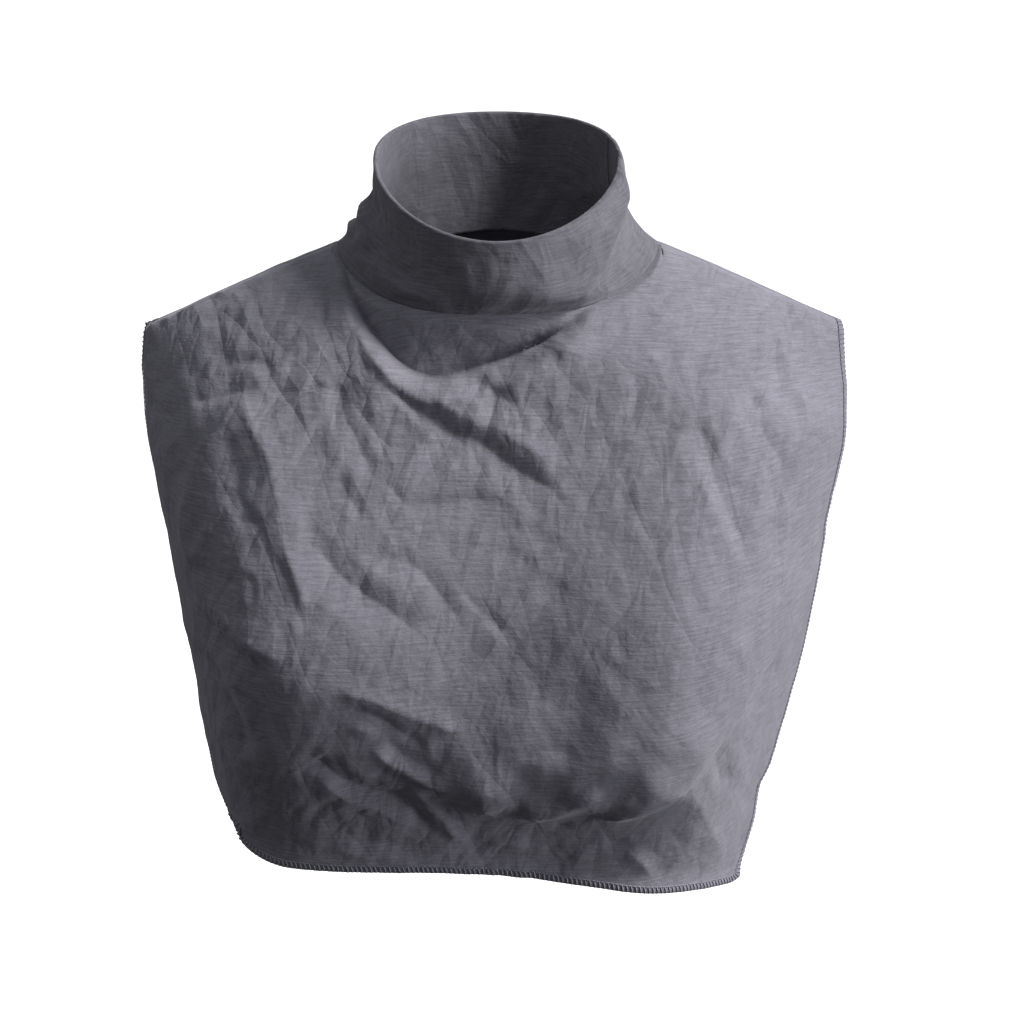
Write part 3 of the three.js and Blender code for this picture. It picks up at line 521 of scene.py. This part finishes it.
def soft_noise(places, cell, seed):
    """Smooth noise from about -1 to 1 over places on the cloth, with swells about a cell across."""
    spot = places / cell
    corner = np.floor(spot).astype(np.int64)
    share = spot - corner
    ease = share ** 3 * (share * (share * 6 - 15) + 10)
    turns = np.random.default_rng(seed).uniform(0, 2 * math.pi, (NOISE_CELLS, NOISE_CELLS))
    total = np.zeros(places.shape[:-1])
    for i in (0, 1):
        for j in (0, 1):
            angle = turns[(corner[..., 0] + i) % NOISE_CELLS, (corner[..., 1] + j) % NOISE_CELLS]
            slope = np.cos(angle) * (share[..., 0] - i) + np.sin(angle) * (share[..., 1] - j)
            total += slope * np.abs(1 - i - ease[..., 0]) * np.abs(1 - j - ease[..., 1])
    return NOISE_GAIN * total


def bent(places, cell, swell, bend, stretch, lean, seed):
    """Places that are bent by noise, turned by a lean and drawn out along it."""
    noise = [soft_noise(places, swell * cell, seed + 1), soft_noise(places, swell * cell, seed + 2)]
    x, y = np.moveaxis(places + bend * cell * np.stack(noise, -1), -1, 0)
    across = x * math.cos(lean) - y * math.sin(lean)
    return np.stack([across, (x * math.sin(lean) + y * math.cos(lean)) / stretch], -1)


def crumple(places, cell, stretch, lean, seed):
    """Small sharp creases that run mostly one way, at a lean from straight down, from -1 to 1."""
    turned = bent(places, cell, *CREASE_BEND, stretch, lean, seed)
    ridges = 1 - CREASE_SLOPE * np.abs(soft_noise(turned, cell, seed))
    apart, mean, swing = CREASE_PATCHES
    return ridges * (mean + swing * soft_noise(places, apart * cell, seed + 3))


def facets(places, cell, stretch, lean, seed):
    """Crumpled cloth: nearly flat faces about a cell across, which meet along creases, from 0 to 1."""
    turned = bent(places, cell, *FACET_BEND, stretch, lean, seed) / cell
    corner = np.floor(turned).astype(np.int64)
    centres = np.random.default_rng(seed).uniform(*FACET_CENTRES, (NOISE_CELLS, NOISE_CELLS, 2))
    nearest = np.full(turned.shape[:-1], np.inf)
    for i in (-1, 0, 1):
        for j in (-1, 0, 1):
            square = corner + [i, j]
            centre = square + centres[square[..., 0] % NOISE_CELLS, square[..., 1] % NOISE_CELLS]
            nearest = np.minimum(nearest, np.linalg.norm(turned - centre, axis=-1))
    return np.sqrt(nearest ** 2 + FACET_TIP)


def fold_height(folds, unit, places):
    """How high the folds stand at places across and down, given in metres."""
    height = np.zeros(len(places))
    wander = FOLD_WANDER * soft_noise(places, WANDER_CELL, WANDER_SEED)
    swell = 1 + FOLD_SWELL * soft_noise(places, SWELL_CELL, SWELL_SEED)
    for rise, over, under, points in folds:
        path = path_through(points, unit)
        reach = max(over, under) * MM * FOLD_REACH
        low, high = path.min(0) - reach, path.max(0) + reach
        near = np.all((places > low) & (places < high), axis=1)
        if not near.any():
            continue
        off, share, length = off_path(path, places[near])
        off += wander[near] * min(1, (over + under) / WANDER_FULL)
        taper = np.clip((over + under) * MM / length, *FOLD_TAPER)
        ends = smoothstep(share, 0, taper) * smoothstep(1 - share, 0, taper)
        half = np.where(off < 0, over, under) * MM * lerp(FOLD_END_WIDTH, 1.0, ends)
        away = np.abs(off / half)
        creased = np.clip(1 - away / FOLD_SIDE, 0, 1) ** FOLD_FOOT
        profile = lerp(creased, np.exp(-away ** 2), smoothstep(min(over, under), *FOLD_ROUND))
        kept = lerp(FOLD_SLENDER, 1, smoothstep(over + under, *FOLD_STOUT))
        height[near] += rise * MM * kept * ends * swell[near] * profile
    return height


def hollow_depth(places, top_down):
    """How far the cloth falls in under the band, at places whose own top edge lies top_down."""
    line = path_through(HOLLOW_LINE, PANEL_UNIT)
    bottom = np.interp(places[..., 0], line[:, 0], line[:, 1], left=-1, right=-1)
    room = np.maximum(bottom - top_down, 1 * MM)
    inside = np.clip((places[..., 1] - top_down) / room, 0, 1)
    out = np.clip(1 - (places[..., 1] - bottom) / HOLLOW_LEDGE, 0, 1) ** HOLLOW_BEND
    return HOLLOW_DEPTH * smoothstep(bottom - top_down, 0, HOLLOW_FULL) * inside * out


def crumpled_amount(bib, places):
    """How crumpled a panel is at each place: little, and more where CRUMPLED says."""
    amount = np.full(len(places), CRUMPLED_ALL)
    if bib is FRONT:
        for across, down, wide, high, more in zip(*CRUMPLED.values()):
            away = (places / PANEL_UNIT - [across, down]) / [wide, high]
            amount += more * np.exp(-(away ** 2).sum(-1))
    return amount


def crumple_height(amount, places):
    """The creases and faces of a panel, by how crumpled each place is."""
    shift = np.where(places[:, 0] < 0, SETS_SHIFT, -SETS_SHIFT)
    mix = smoothstep(places[:, 0] / PANEL_UNIT[0] + shift, *SETS_MEET)
    height = 0
    for rise, cell, form, sets in ((CRUMPLE, CRUMPLE_CELL, crumple, CREASE_SETS),
                                   (FACET, FACET_CELL, facets, FACET_SETS)):
        slanted, steep, fine = [form(places, size * cell, *rest) for size, *rest in sets]
        height = height + rise * (lerp(slanted, steep, mix) + FINE_SHARE * fine)
    return amount * height


def eased(grid, passes):
    """A grid with each column's bends rounded off, between its ends, or a path with its own."""
    grid = grid.copy()
    for _ in range(passes):
        grid[1:-1] = (grid[:-2] + 2 * grid[1:-1] + grid[2:]) / 4
    return grid


def unit_length(vectors):
    return vectors / np.linalg.norm(vectors, axis=-1, keepdims=True)


def normals_of(grid, ring):
    """Unit normals of a grid of points; a ring's rows close on themselves."""
    if ring:
        across = np.roll(grid, -1, axis=1) - np.roll(grid, 1, axis=1)
    else:
        across = np.gradient(grid, axis=1)
    return unit_length(np.cross(across, np.gradient(grid, axis=0)))


def turned_out(normals, out):
    """Normals, turned about if they point against out on the whole."""
    return normals if (normals * out).sum() > 0 else -normals


def flat_places(bib, grid):
    """Where each point of a panel lies on the flat cloth: across from the middle, and down."""
    x, z = grid[..., 0], grid[..., 2]
    stations = np.linspace(0, 1, FLAT_STEPS)
    across = x[..., None] * stations
    out = body_depth(bib, across, np.minimum(z, 0)[..., None])
    length = np.hypot(np.diff(across, axis=-1), np.diff(out, axis=-1)).sum(-1)
    return np.stack([np.sign(x) * length, shoulder_height(x) - along_at(x, z)], -1)


def flat_lengths(grid):
    """Where each point lies on the flat cloth: across from the middle column, and down from the top."""
    across = np.linalg.norm(np.diff(grid, axis=1), axis=-1)
    across = np.concatenate([np.zeros((len(grid), 1)), np.cumsum(across, axis=1)], axis=1)
    across -= across[:, across.shape[1] // 2][:, None]
    down = np.linalg.norm(np.diff(grid, axis=0), axis=-1)
    down = np.concatenate([np.zeros((1, grid.shape[1])), np.cumsum(down, axis=0)])
    return np.stack([across, -down], -1)


def add_object(name, data):
    thing = bpy.data.objects.new(name, data)
    bpy.context.scene.collection.objects.link(thing)
    return thing


def mesh_object(name, points, faces, uv=None):
    mesh = bpy.data.meshes.new(name)
    mesh.from_pydata(points.reshape(-1, 3).tolist(), [], faces)
    mesh.shade_smooth()
    if uv is not None:
        corners = np.zeros(len(mesh.loops), dtype=np.int64)
        mesh.loops.foreach_get("vertex_index", corners)
        layer = mesh.uv_layers.new(name="cloth")
        layer.data.foreach_set("uv", uv.reshape(-1, 2)[corners].ravel())
    mesh.validate()
    return add_object(name, mesh)


def grid_quads(rows, columns, ring, start=0, flip=False):
    """Faces of a grid of points, numbered row by row."""
    i, j = np.meshgrid(np.arange(columns if ring else columns - 1), np.arange(rows - 1))
    nxt = (i + 1) % columns
    here, below = j * columns, (j + 1) * columns
    quads = np.stack([here + i, below + i, below + nxt, here + nxt], -1).reshape(-1, 4) + start
    return quads[:, ::-1] if flip else quads


def closed_sheet(name, grid, normal, wall, uv, ring=False):
    """A closed piece of cloth about a grid of points. Its inner side has every other point, and faces
    round the rim join the two sides."""
    outer = grid + normal * wall / 2
    inner = (grid - normal * wall / 2)[::2, ::2]
    count = outer.shape[0] * outer.shape[1]
    points = np.concatenate([outer.reshape(-1, 3), inner.reshape(-1, 3)])
    faces = grid_quads(*outer.shape[:2], ring).tolist()
    faces += grid_quads(*inner.shape[:2], ring, count, flip=True).tolist()
    fine = np.arange(count).reshape(outer.shape[:2])
    coarse = np.arange(count, len(points)).reshape(inner.shape[:2])
    if ring:
        fine, coarse = (np.concatenate([index, index[:, :1]], axis=1) for index in (fine, coarse))
    runs = [(fine[0], coarse[0]), (fine[-1, ::-1], coarse[-1, ::-1])]
    if not ring:
        runs += [(fine[::-1, 0], coarse[::-1, 0]), (fine[:, -1], coarse[:, -1])]
    for a, b in runs:
        faces += np.stack([a[:-2:2], a[1:-1:2], a[2::2], b[1:], b[:-1]], -1).tolist()
    uv = np.concatenate([uv.reshape(-1, 2), uv[::2, ::2].reshape(-1, 2)])
    return mesh_object(name, points, faces, uv)


def panel_grid(bib):
    """A panel's cloth with its folds: its points, their outward normals, their flat places and how
    crumpled they are."""
    column, row = np.meshgrid(np.linspace(-1, 1, bib["columns"] + 1), np.linspace(0, 1, bib["rows"] + 1))
    grid = eased(smooth_bib(bib, column, row), EASE_PASSES)
    out = (0, bib["facing"], 0)
    outward = turned_out(normals_of(grid, False), out)
    uv = flat_places(bib, grid)
    below_top = np.linalg.norm(grid - grid[:1], axis=-1)
    fade = smoothstep(below_top, FOLD_CLEAR, FOLD_START)
    places = np.stack([grid[..., 0], -grid[..., 2]], -1).reshape(-1, 2)
    amount = crumpled_amount(bib, places)
    height = fold_height(bib["folds"], PANEL_UNIT, places) + crumple_height(amount, places)
    height = fade * height.reshape(grid.shape[:2])
    above_hem = np.linalg.norm(grid - grid[-1:], axis=-1)
    height += HEM_FLIP * np.exp(-above_hem / HEM_FLIP_REACH)
    height -= SEAM_SINK * np.exp(-(below_top / SEAM_REACH) ** 2)
    if bib is FRONT:
        top_down = np.broadcast_to(-grid[:1, :, 2], grid.shape[:2])
        height -= hollow_depth(places.reshape(*grid.shape[:2], 2), top_down)
    grid = grid + outward * height[..., None]
    outward = turned_out(normals_of(grid, False), out)
    return grid, outward, uv, (amount * fade.ravel()).reshape(grid.shape[:2])


def note_crumpled(piece, amount):
    """Notes how crumpled each point is, for the cloth's material."""
    layer = piece.data.attributes.new("crumpled", "FLOAT", "POINT")
    layer.data.foreach_set("value", amount.astype(np.float32))


def make_panel(name, bib, node, material):
    grid, outward, uv, amount = panel_grid(bib)
    piece = closed_sheet(name, grid, outward, CLOTH, uv)
    note_crumpled(piece, np.concatenate([amount.ravel(), amount[::2, ::2].ravel()]))
    piece.data.materials.append(material)
    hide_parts(node)
    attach(piece, "root")
    return piece, grid, outward


def band_point(around, up):
    """The middle of the collar band at a share of the turn and a share of the way up."""
    angle = around * 2 * math.pi
    points = [hanging_point(bib, *neckline(bib, own, NECK_INSET))
              for bib, own in ((FRONT, angle), (BACK, math.pi - angle))]
    is_front = np.cos(angle) >= 0
    base = np.where(is_front[..., None], *points)
    flat = np.linalg.norm(base[..., :2], axis=-1, keepdims=True)
    base[..., :2] *= 1 - NECK_INSET / flat
    base[..., 2] -= BAND_SEAT
    sides = (RIM_BACK_HEIGHT - RIM_FRONT_HEIGHT) / 2
    middle = (RIM_BACK_HEIGHT + RIM_FRONT_HEIGHT) / 2 - RIM_SIDE_HEIGHT
    rim = np.stack([
        np.sin(angle) * RIM_WIDTH / 2,
        -np.cos(angle) * np.where(is_front, RIM_FRONT, RIM_BACK),
        RIM_SIDE_HEIGHT - sides * np.cos(angle) + middle * np.cos(angle) ** 2,
    ], -1)
    flare = ((1 - up) ** BAND_FLARE)[..., None]
    point = lerp(rim, base, flare)
    point[..., 2] = lerp(base[..., 2], rim[..., 2], up)
    return point


def make_collar(material):
    """The band, doubled: its outer side up to the rim, round the rim, and down its inner side."""
    columns, rows, rim_steps = 420, 50, 9
    free, rim_from = 0.2, 0.8  # the folds rise in full from the one share of the height to the other
    outer_rim, inner_rim = 0.55, 0.1  # and are this much lower at the rim
    inner_share = 0.5  # the inner side follows the folds by so much
    inner_room = 0.4  # and outwards no further than this share of the gap
    around, up = np.meshgrid(BAND_SEAM + np.arange(columns) / columns, np.linspace(0, 1, rows))
    around = (around + 0.5) % 1 - 0.5
    middle = band_point(around, up)
    outward = turned_out(normals_of(middle, True), middle * (1, 1, 0))
    gap = (BAND_WALL - CLOTH) / 2
    places = (np.stack([around, 1 - up], -1) * [BAND_TURN, BAND_DROP]).reshape(-1, 2)
    height = fold_height(BAND_FOLDS, BAND_UNIT, places)
    height += BAND_CRUMPLE * crumple(places, CRUMPLE_CELL, *BAND_CREASES)
    height = height.reshape(around.shape) * smoothstep(up, 0, free)
    height -= SEAM_SINK * np.exp(-((around - BAND_SEAM) * BAND_TURN / (SEAM_REACH / 2)) ** 2)
    near_rim = smoothstep(up, rim_from, 1)
    outer = middle + outward * (gap + height * (1 - outer_rim * near_rim))[..., None]
    settled = inner_share * height * (1 - inner_rim * near_rim)
    inner = (middle - outward * (gap - np.minimum(settled, inner_room * gap))[..., None])[::-1]
    rise = unit_length(middle[-1] - middle[-2])
    turn = np.linspace(0, math.pi, rim_steps + 2)[1:-1, None, None]
    between = (outer[-1] + inner[0]) / 2
    half = (outer[-1] - inner[0]) / 2
    rim = between + half * np.cos(turn) + rise * gap * np.sin(turn)
    grid = np.concatenate([outer, rim, inner])
    normal = normals_of(grid, True)
    out = np.zeros_like(grid)
    out[:rows] = middle * (1, 1, 0)
    uv = flat_lengths(grid)
    piece = closed_sheet("collar_band", grid, turned_out(normal, out), CLOTH, uv, ring=True)
    note_crumpled(piece, np.full(len(piece.data.vertices), BAND_CRUMPLED))
    piece.data.materials.append(material)
    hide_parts("collar")
    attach(piece, "root")
    return piece


def tube(path, radius):
    """A round thread along a path, closed at both ends: its points and faces."""
    sides = 6
    ahead = unit_length(np.gradient(path, axis=0))
    side = np.zeros_like(path)
    any_way = (0.3, 0.5, 0.8)  # off the path's own way
    current = np.cross(ahead[0], any_way)
    for i, way in enumerate(ahead):
        side[i] = current = unit_length(current - way * (current @ way))
    up = np.cross(ahead, side)
    angle = np.arange(sides)[:, None] * 2 * math.pi / sides
    rings = path[:, None] + radius * (side[:, None] * np.cos(angle) + up[:, None] * np.sin(angle))
    last = (len(path) - 1) * sides
    caps = [list(range(sides)), list(range(last + sides - 1, last - 1, -1))]
    return rings.reshape(-1, 3), grid_quads(len(path), sides, True)[:, ::-1].tolist() + caps


def cut_edge(grid, outward):
    """A panel's cut edge from its left shoulder round the hem to the right one, at the steps of the
    stitches: the places, the cloth's normals there and the ways in from the edge."""
    run, normal = (np.concatenate([all_of[:, 0], all_of[-1, 1:], all_of[-2::-1, -1]])
                   for all_of in (grid, outward))
    length = np.concatenate([[0], np.cumsum(np.linalg.norm(np.diff(run, axis=0), axis=1))])
    count = int(length[-1] / STITCH_PITCH) * STITCH_STEPS
    at = np.linspace(0, length[-1], count + 1)
    place, normal = (np.stack([np.interp(at, length, part) for part in along.T], -1)
                     for along in (run, normal))
    normal = unit_length(normal)
    inward = unit_length(np.cross(normal, eased(np.gradient(place, axis=0), EDGE_EASE_PASSES)))
    middle = grid[:, grid.shape[1] // 2].mean(0)
    return place, normal, turned_out(inward, middle - place)


# Points of one stitch of each thread on the cloth: the step of the stitch, how far in from the edge as a
# share of EDGE_WIDTH, the side of the cloth, and how far off it in the thread's radius
BAR_OVER = [(0, 1, 1, 0), (0, 0.75, 1, 1), (1, 0.35, 1, 1), (1, 0.1, 1, 1)]
BAR_ROUND = 1  # the step at which the bar goes round the edge
BAR_UNDER = [(2, 0.1, -1, 1), (2, 0.5, -1, 1), (3, 0.95, -1, 0)]
NEEDLE = [(0, 1, 1, -1), (1, 1, 1, 1), (2, 1, 1, 1.4), (3, 1, 1, 1)]
CHAIN_OUT = 0.6  # how far the chain lies outside the edge, in the thread's radius
CHAIN_LIFTS = (0.0, 0.8, 0.0, -0.8)
THREAD_SHARES = (1.3, 0.9, 1.2)  # how thick the bars, the needle line and the chain are
CLOTH_PROBE = 1.6 * MM  # the cloth's surface is sought from this far off


def make_overlock(name, sheet, grid, outward, node, material):
    """The threads that bind a panel's cut edge: bars round the edge, a needle line and a chain on it."""
    place, normal, inward = cut_edge(grid, outward)
    surface = sheet.data
    tree = BVHTree.FromPolygons([v.co for v in surface.vertices], [f.vertices for f in surface.polygons])
    radius = EDGE_THREAD / 2

    def on_cloth(first, stitch):
        points = []
        for step, inset, face, lift in stitch:
            i = first + step
            start = place[i] + inward[i] * inset * EDGE_WIDTH + normal[i] * face * CLOTH_PROBE
            hit = tree.find_nearest(Vector(start))[0]
            points.append(np.array(hit) + normal[i] * face * lift * radius)
        return points

    bars, needle, chain = [], [], []
    for i in range(0, len(place) - STITCH_STEPS, STITCH_STEPS):
        edge = place[i + BAR_ROUND] - inward[i + BAR_ROUND] * radius
        bars += on_cloth(i, BAR_OVER) + [edge] + on_cloth(i, BAR_UNDER)
        needle += on_cloth(i, NEEDLE)
        for k, lift in enumerate(CHAIN_LIFTS, i):
            chain.append(place[k] + (normal[k] * lift - inward[k] * CHAIN_OUT) * radius)
    points, faces = [], []
    for path, share in zip((bars, needle, chain), THREAD_SHARES):
        ring, sides = tube(np.array(path), radius * share)
        start = sum(len(part) for part in points)
        points.append(ring)
        faces += [[index + start for index in face] for face in sides]
    piece = mesh_object(name, np.concatenate(points), faces)
    piece.data.materials.append(material)
    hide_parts(node)
    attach(piece, "root")
    return piece


class Nodes:
    """A material's node tree, with its nodes and links made by short calls."""

    def __init__(self, name):
        self.material = bpy.data.materials.new(name)
        self.material.use_nodes = True
        self.tree = self.material.node_tree
        self.shader = self.tree.nodes["Principled BSDF"]

    def add(self, kind, inputs=None, **settings):
        node = self.tree.nodes.new("ShaderNode" + kind)
        for key, value in settings.items():
            setattr(node, key, value)
        for key, value in (inputs or {}).items():
            self.put(node, key, value)
        return node

    def put(self, node, key, value):
        if isinstance(value, bpy.types.NodeSocket):
            self.tree.links.new(value, node.inputs[key])
        else:
            node.inputs[key].default_value = value

    def finish(self, settings):
        for key, value in settings.items():
            self.put(self.shader, key, value)
        return self.material


# Noise in the cloth: repeats a metre across and down, detail, roughness and lean
STREAKS = ((70, 950), 3, 0.6, 0.0)
FLECKS = ((420, 1500), 2, 0.6, 0.0)
CLOUDS = ((22, 30), 3, 0.5, 0.0)
SMALL_CREASES = ((55, 95), 4, 0.55, 0.8)
# Faces of the creased cloth: repeats a metre across and down, lean and bend, and their heights in mm
CREASED_FACES = [((36, 13), 0.65, 1.1), ((42, 15), -0.35, 1.1), ((95, 40), 0.3, 1.2)]
FACE_HEIGHTS = [3.0, 2.0, 0.9]
STREAK_TONE, FLECK_TONE, CLOUD_TONE = 0.62, 0.3, 0.2
STREAK_HEIGHT, FLECK_HEIGHT = 0.13, 0.08
YARN_TONES = [(0.36, 0.74), (0.76, 1.3)]  # places on the ramp, and the colour's shares there
CLOTH_FINISH = {
    "Roughness": 0.88, "Sheen Weight": 0.2, "Sheen Roughness": 0.5, "Sheen Tint": (0.9, 0.9, 1.0, 1),
    "Specular IOR Level": 0.22,
}
FIBRES = 1500  # repeats a metre
FIBRE_TONES = [(0.0, 0.6), (1.0, 1.5)]
THREAD_FINISH = {"Roughness": 0.7, "Specular IOR Level": 0.3}


def stretched(nodes, scale, lean):
    """The cloth's own coordinates in metres, turned and then scaled to repeats a metre."""
    uv = nodes.add("UVMap", uv_map="cloth")
    turned = nodes.add("VectorRotate", {"Vector": uv.outputs["UV"], "Angle": lean},
                       rotation_type="Z_AXIS")
    scaled = nodes.add("VectorMath", {0: turned.outputs["Vector"], 1: (*scale, 1)},
                       operation="MULTIPLY")
    return scaled.outputs["Vector"]


def noise_of(nodes, scale, detail, roughness, lean):
    vector = stretched(nodes, scale, lean)
    made = nodes.add("TexNoise", {"Vector": vector, "Scale": 1, "Detail": detail, "Roughness": roughness},
                     noise_dimensions="2D")
    return made.outputs["Fac"]


def faces_of(nodes, scale, lean, bend):
    """Flat faces that meet along crisp creases, with the creases bent by noise."""
    place = stretched(nodes, scale, lean)
    noise = nodes.add("TexNoise", {"Vector": place, "Scale": 0.8, "Detail": 2}, noise_dimensions="2D")
    moved = nodes.add("VectorMath", {0: noise.outputs["Color"], 1: (bend, bend, 0), 2: place},
                      operation="MULTIPLY_ADD")
    cells = nodes.add("TexVoronoi", {"Vector": moved.outputs["Vector"], "Scale": 1},
                      feature="DISTANCE_TO_EDGE", voronoi_dimensions="2D")
    return cells.outputs["Distance"]


def weighted(nodes, parts):
    """The sum of values, each times its weight."""
    total = 0.0
    for value, weight in parts:
        part = nodes.add("Math", {0: value, 1: weight, 2: total}, operation="MULTIPLY_ADD")
        total = part.outputs["Value"]
    return total


def toned(nodes, value, color, tones):
    """Gives the shader's colour a range of tones by a value."""
    ramp = nodes.add("ValToRGB", {"Fac": value})
    for element, (position, share) in zip(ramp.color_ramp.elements, tones):
        element.position = position
        element.color = [share * part for part in color] + [1]
    nodes.put(nodes.shader, "Base Color", ramp.outputs["Color"])


def jersey_material(name, color, crumpled):
    """Fine jersey with streaks of lighter and darker yarn across it, and small creases of a height."""
    nodes = Nodes(name)
    streaks, flecks, clouds = [noise_of(nodes, *noise) for noise in (STREAKS, FLECKS, CLOUDS)]
    tone = weighted(nodes, [(streaks, STREAK_TONE), (flecks, FLECK_TONE), (clouds, CLOUD_TONE)])
    toned(nodes, tone, color, YARN_TONES)
    creases = noise_of(nodes, *SMALL_CREASES)
    amount = nodes.add("Attribute", attribute_name="crumpled").outputs["Fac"]
    faces = [faces_of(nodes, scale, lean, bend) for scale, lean, bend in CREASED_FACES]
    small = weighted(nodes, zip(faces, FACE_HEIGHTS))
    small = nodes.add("Math", {0: small, 1: amount}, operation="MULTIPLY").outputs["Value"]
    height = weighted(nodes, [(streaks, STREAK_HEIGHT), (flecks, FLECK_HEIGHT), (creases, crumpled),
                              (small, 1)])
    bump = nodes.add("Bump", {"Height": height, "Distance": 1 * MM, "Strength": 1})
    nodes.put(nodes.shader, "Normal", bump.outputs["Normal"])
    return nodes.finish(CLOTH_FINISH)


def thread_material(color):
    nodes = Nodes("thread")
    place = nodes.add("TexCoord")
    fibres = nodes.add("TexNoise", {"Vector": place.outputs["Object"], "Scale": FIBRES, "Detail": 2})
    toned(nodes, fibres.outputs["Fac"], color, FIBRE_TONES)
    return nodes.finish(THREAD_FINISH)


CAMERA_TARGET = Vector((7.6, -57, -132)) * MM
CAMERA_DISTANCE = 1200 * MM
CAMERA_ELEVATION = math.radians(20)
FOCAL_PIXELS = 2290
IMAGE_PIXELS = 1024
SENSOR = 36  # in mm, as Blender takes it

FLOOR_DROP = 0.75  # the floor's place below the neck points
FLOOR_FLAT, FLOOR_BEND, WALL = 2.2, 1.2, 4.0  # radius of the flat and of the bend, height of the wall
FLOOR_TURNS = 96
FLOOR_FINISH = {
    "Base Color": (0.86, 0.86, 0.87, 1), "Roughness": 0.95, "Emission Color": (1, 1, 1, 1),
    "Emission Strength": 0.5,
}
SKY_ABOVE = 0.34
SKY_BELOW = 0.0
SKY_COLOR = (0.94, 0.97, 1.0, 1)
# Name, place, where it is aimed, size, power and colour
LIGHTS = [
    ("key", (2.73, -0.6, 2.5), (0, -0.05, -0.15), 0.95, 192, (1.0, 0.985, 0.965)),
    ("soft_fill", (-1.5, -0.5, 1.9), (0, -0.05, -0.15), 1.4, 6, (0.97, 0.98, 1.0)),
    ("side", (2.1, -0.9, 0.0), (0, -0.05, -0.2), 1.0, 31, (0.98, 0.98, 1.0)),
    ("back_fill", (0.6, 2.0, 0.9), (0, 0.03, -0.15), 1.2, 14, (0.95, 0.97, 1.0)),
]


def aim(thing, place, target):
    thing.location = place
    thing.rotation_euler = (Vector(target) - Vector(place)).to_track_quat("-Z", "Y").to_euler()


def make_camera():
    data = bpy.data.cameras.new("camera")
    data.sensor_width = SENSOR
    data.lens = SENSOR * FOCAL_PIXELS / IMAGE_PIXELS
    camera = add_object("camera", data)
    back = Vector((0, -math.cos(CAMERA_ELEVATION), math.sin(CAMERA_ELEVATION)))
    aim(camera, CAMERA_TARGET + back * CAMERA_DISTANCE, CAMERA_TARGET)
    bpy.context.scene.camera = camera


def area_light(name, place, target, size, power, color):
    data = bpy.data.lights.new(name, "AREA")
    data.shape, data.size, data.energy, data.color = "DISK", size, power, color
    aim(add_object(name, data), place, target)


def make_studio():
    """A seamless pale floor that turns up into a wall all round, and soft light from above."""
    profile = [(radius, 0.0) for radius in np.linspace(0.02, FLOOR_FLAT, 12)]
    profile += [(FLOOR_FLAT + FLOOR_BEND * math.sin(turn), FLOOR_BEND * (1 - math.cos(turn)))
                for turn in np.linspace(0.1, math.pi / 2, 14)]
    profile += [(FLOOR_FLAT + FLOOR_BEND, WALL)]
    angle = np.arange(FLOOR_TURNS) * 2 * math.pi / FLOOR_TURNS
    rings = np.array([[(radius * math.cos(a), radius * math.sin(a), height - FLOOR_DROP) for a in angle]
                      for radius, height in profile])
    faces = grid_quads(len(profile), FLOOR_TURNS, True).tolist() + [list(range(FLOOR_TURNS))]
    floor = mesh_object("studio_floor", rings, faces)
    floor.data.materials.append(Nodes("floor_paper").finish(FLOOR_FINISH))
    floor.visible_diffuse = False
    floor.visible_glossy = False
    bpy.context.scene.world = world = bpy.data.worlds.new("studio")
    world.use_nodes = True
    tree = world.node_tree
    kinds = ("TexCoord", "SeparateXYZ", "MapRange")
    place, split, sky = (tree.nodes.new("ShaderNode" + kind) for kind in kinds)
    sky.inputs["From Min"].default_value = -1
    sky.inputs["To Min"].default_value = SKY_BELOW
    sky.inputs["To Max"].default_value = SKY_ABOVE
    tree.links.new(place.outputs["Generated"], split.inputs["Vector"])
    tree.links.new(split.outputs["Z"], sky.inputs["Value"])
    background = tree.nodes["Background"]
    background.inputs["Color"].default_value = SKY_COLOR
    tree.links.new(sky.outputs["Result"], background.inputs["Strength"])
    for light in LIGHTS:
        area_light(*light)
    bpy.context.scene.view_settings.view_transform = "Standard"


make_camera()
make_studio()
jersey = jersey_material("jersey", (0.168, 0.163, 0.194), crumpled=0.55)
# Painted shade: the band gets the panels' jersey in a darker colour, so that its front reads as lying in
# shadow.
band_jersey = jersey_material("band_jersey", (0.11, 0.107, 0.126), crumpled=0.6)
thread = thread_material((0.21, 0.207, 0.245))
front, front_grid, front_normal = make_panel("front_cloth", FRONT, "front_panel", jersey)
back, back_grid, back_normal = make_panel("back_cloth", BACK, "back_panel", jersey)
collar = make_collar(band_jersey)
make_overlock("front_overlock", front, front_grid, front_normal, "front_edging", thread)
make_overlock("back_overlock", back, back_grid, back_normal, "back_edging", thread)
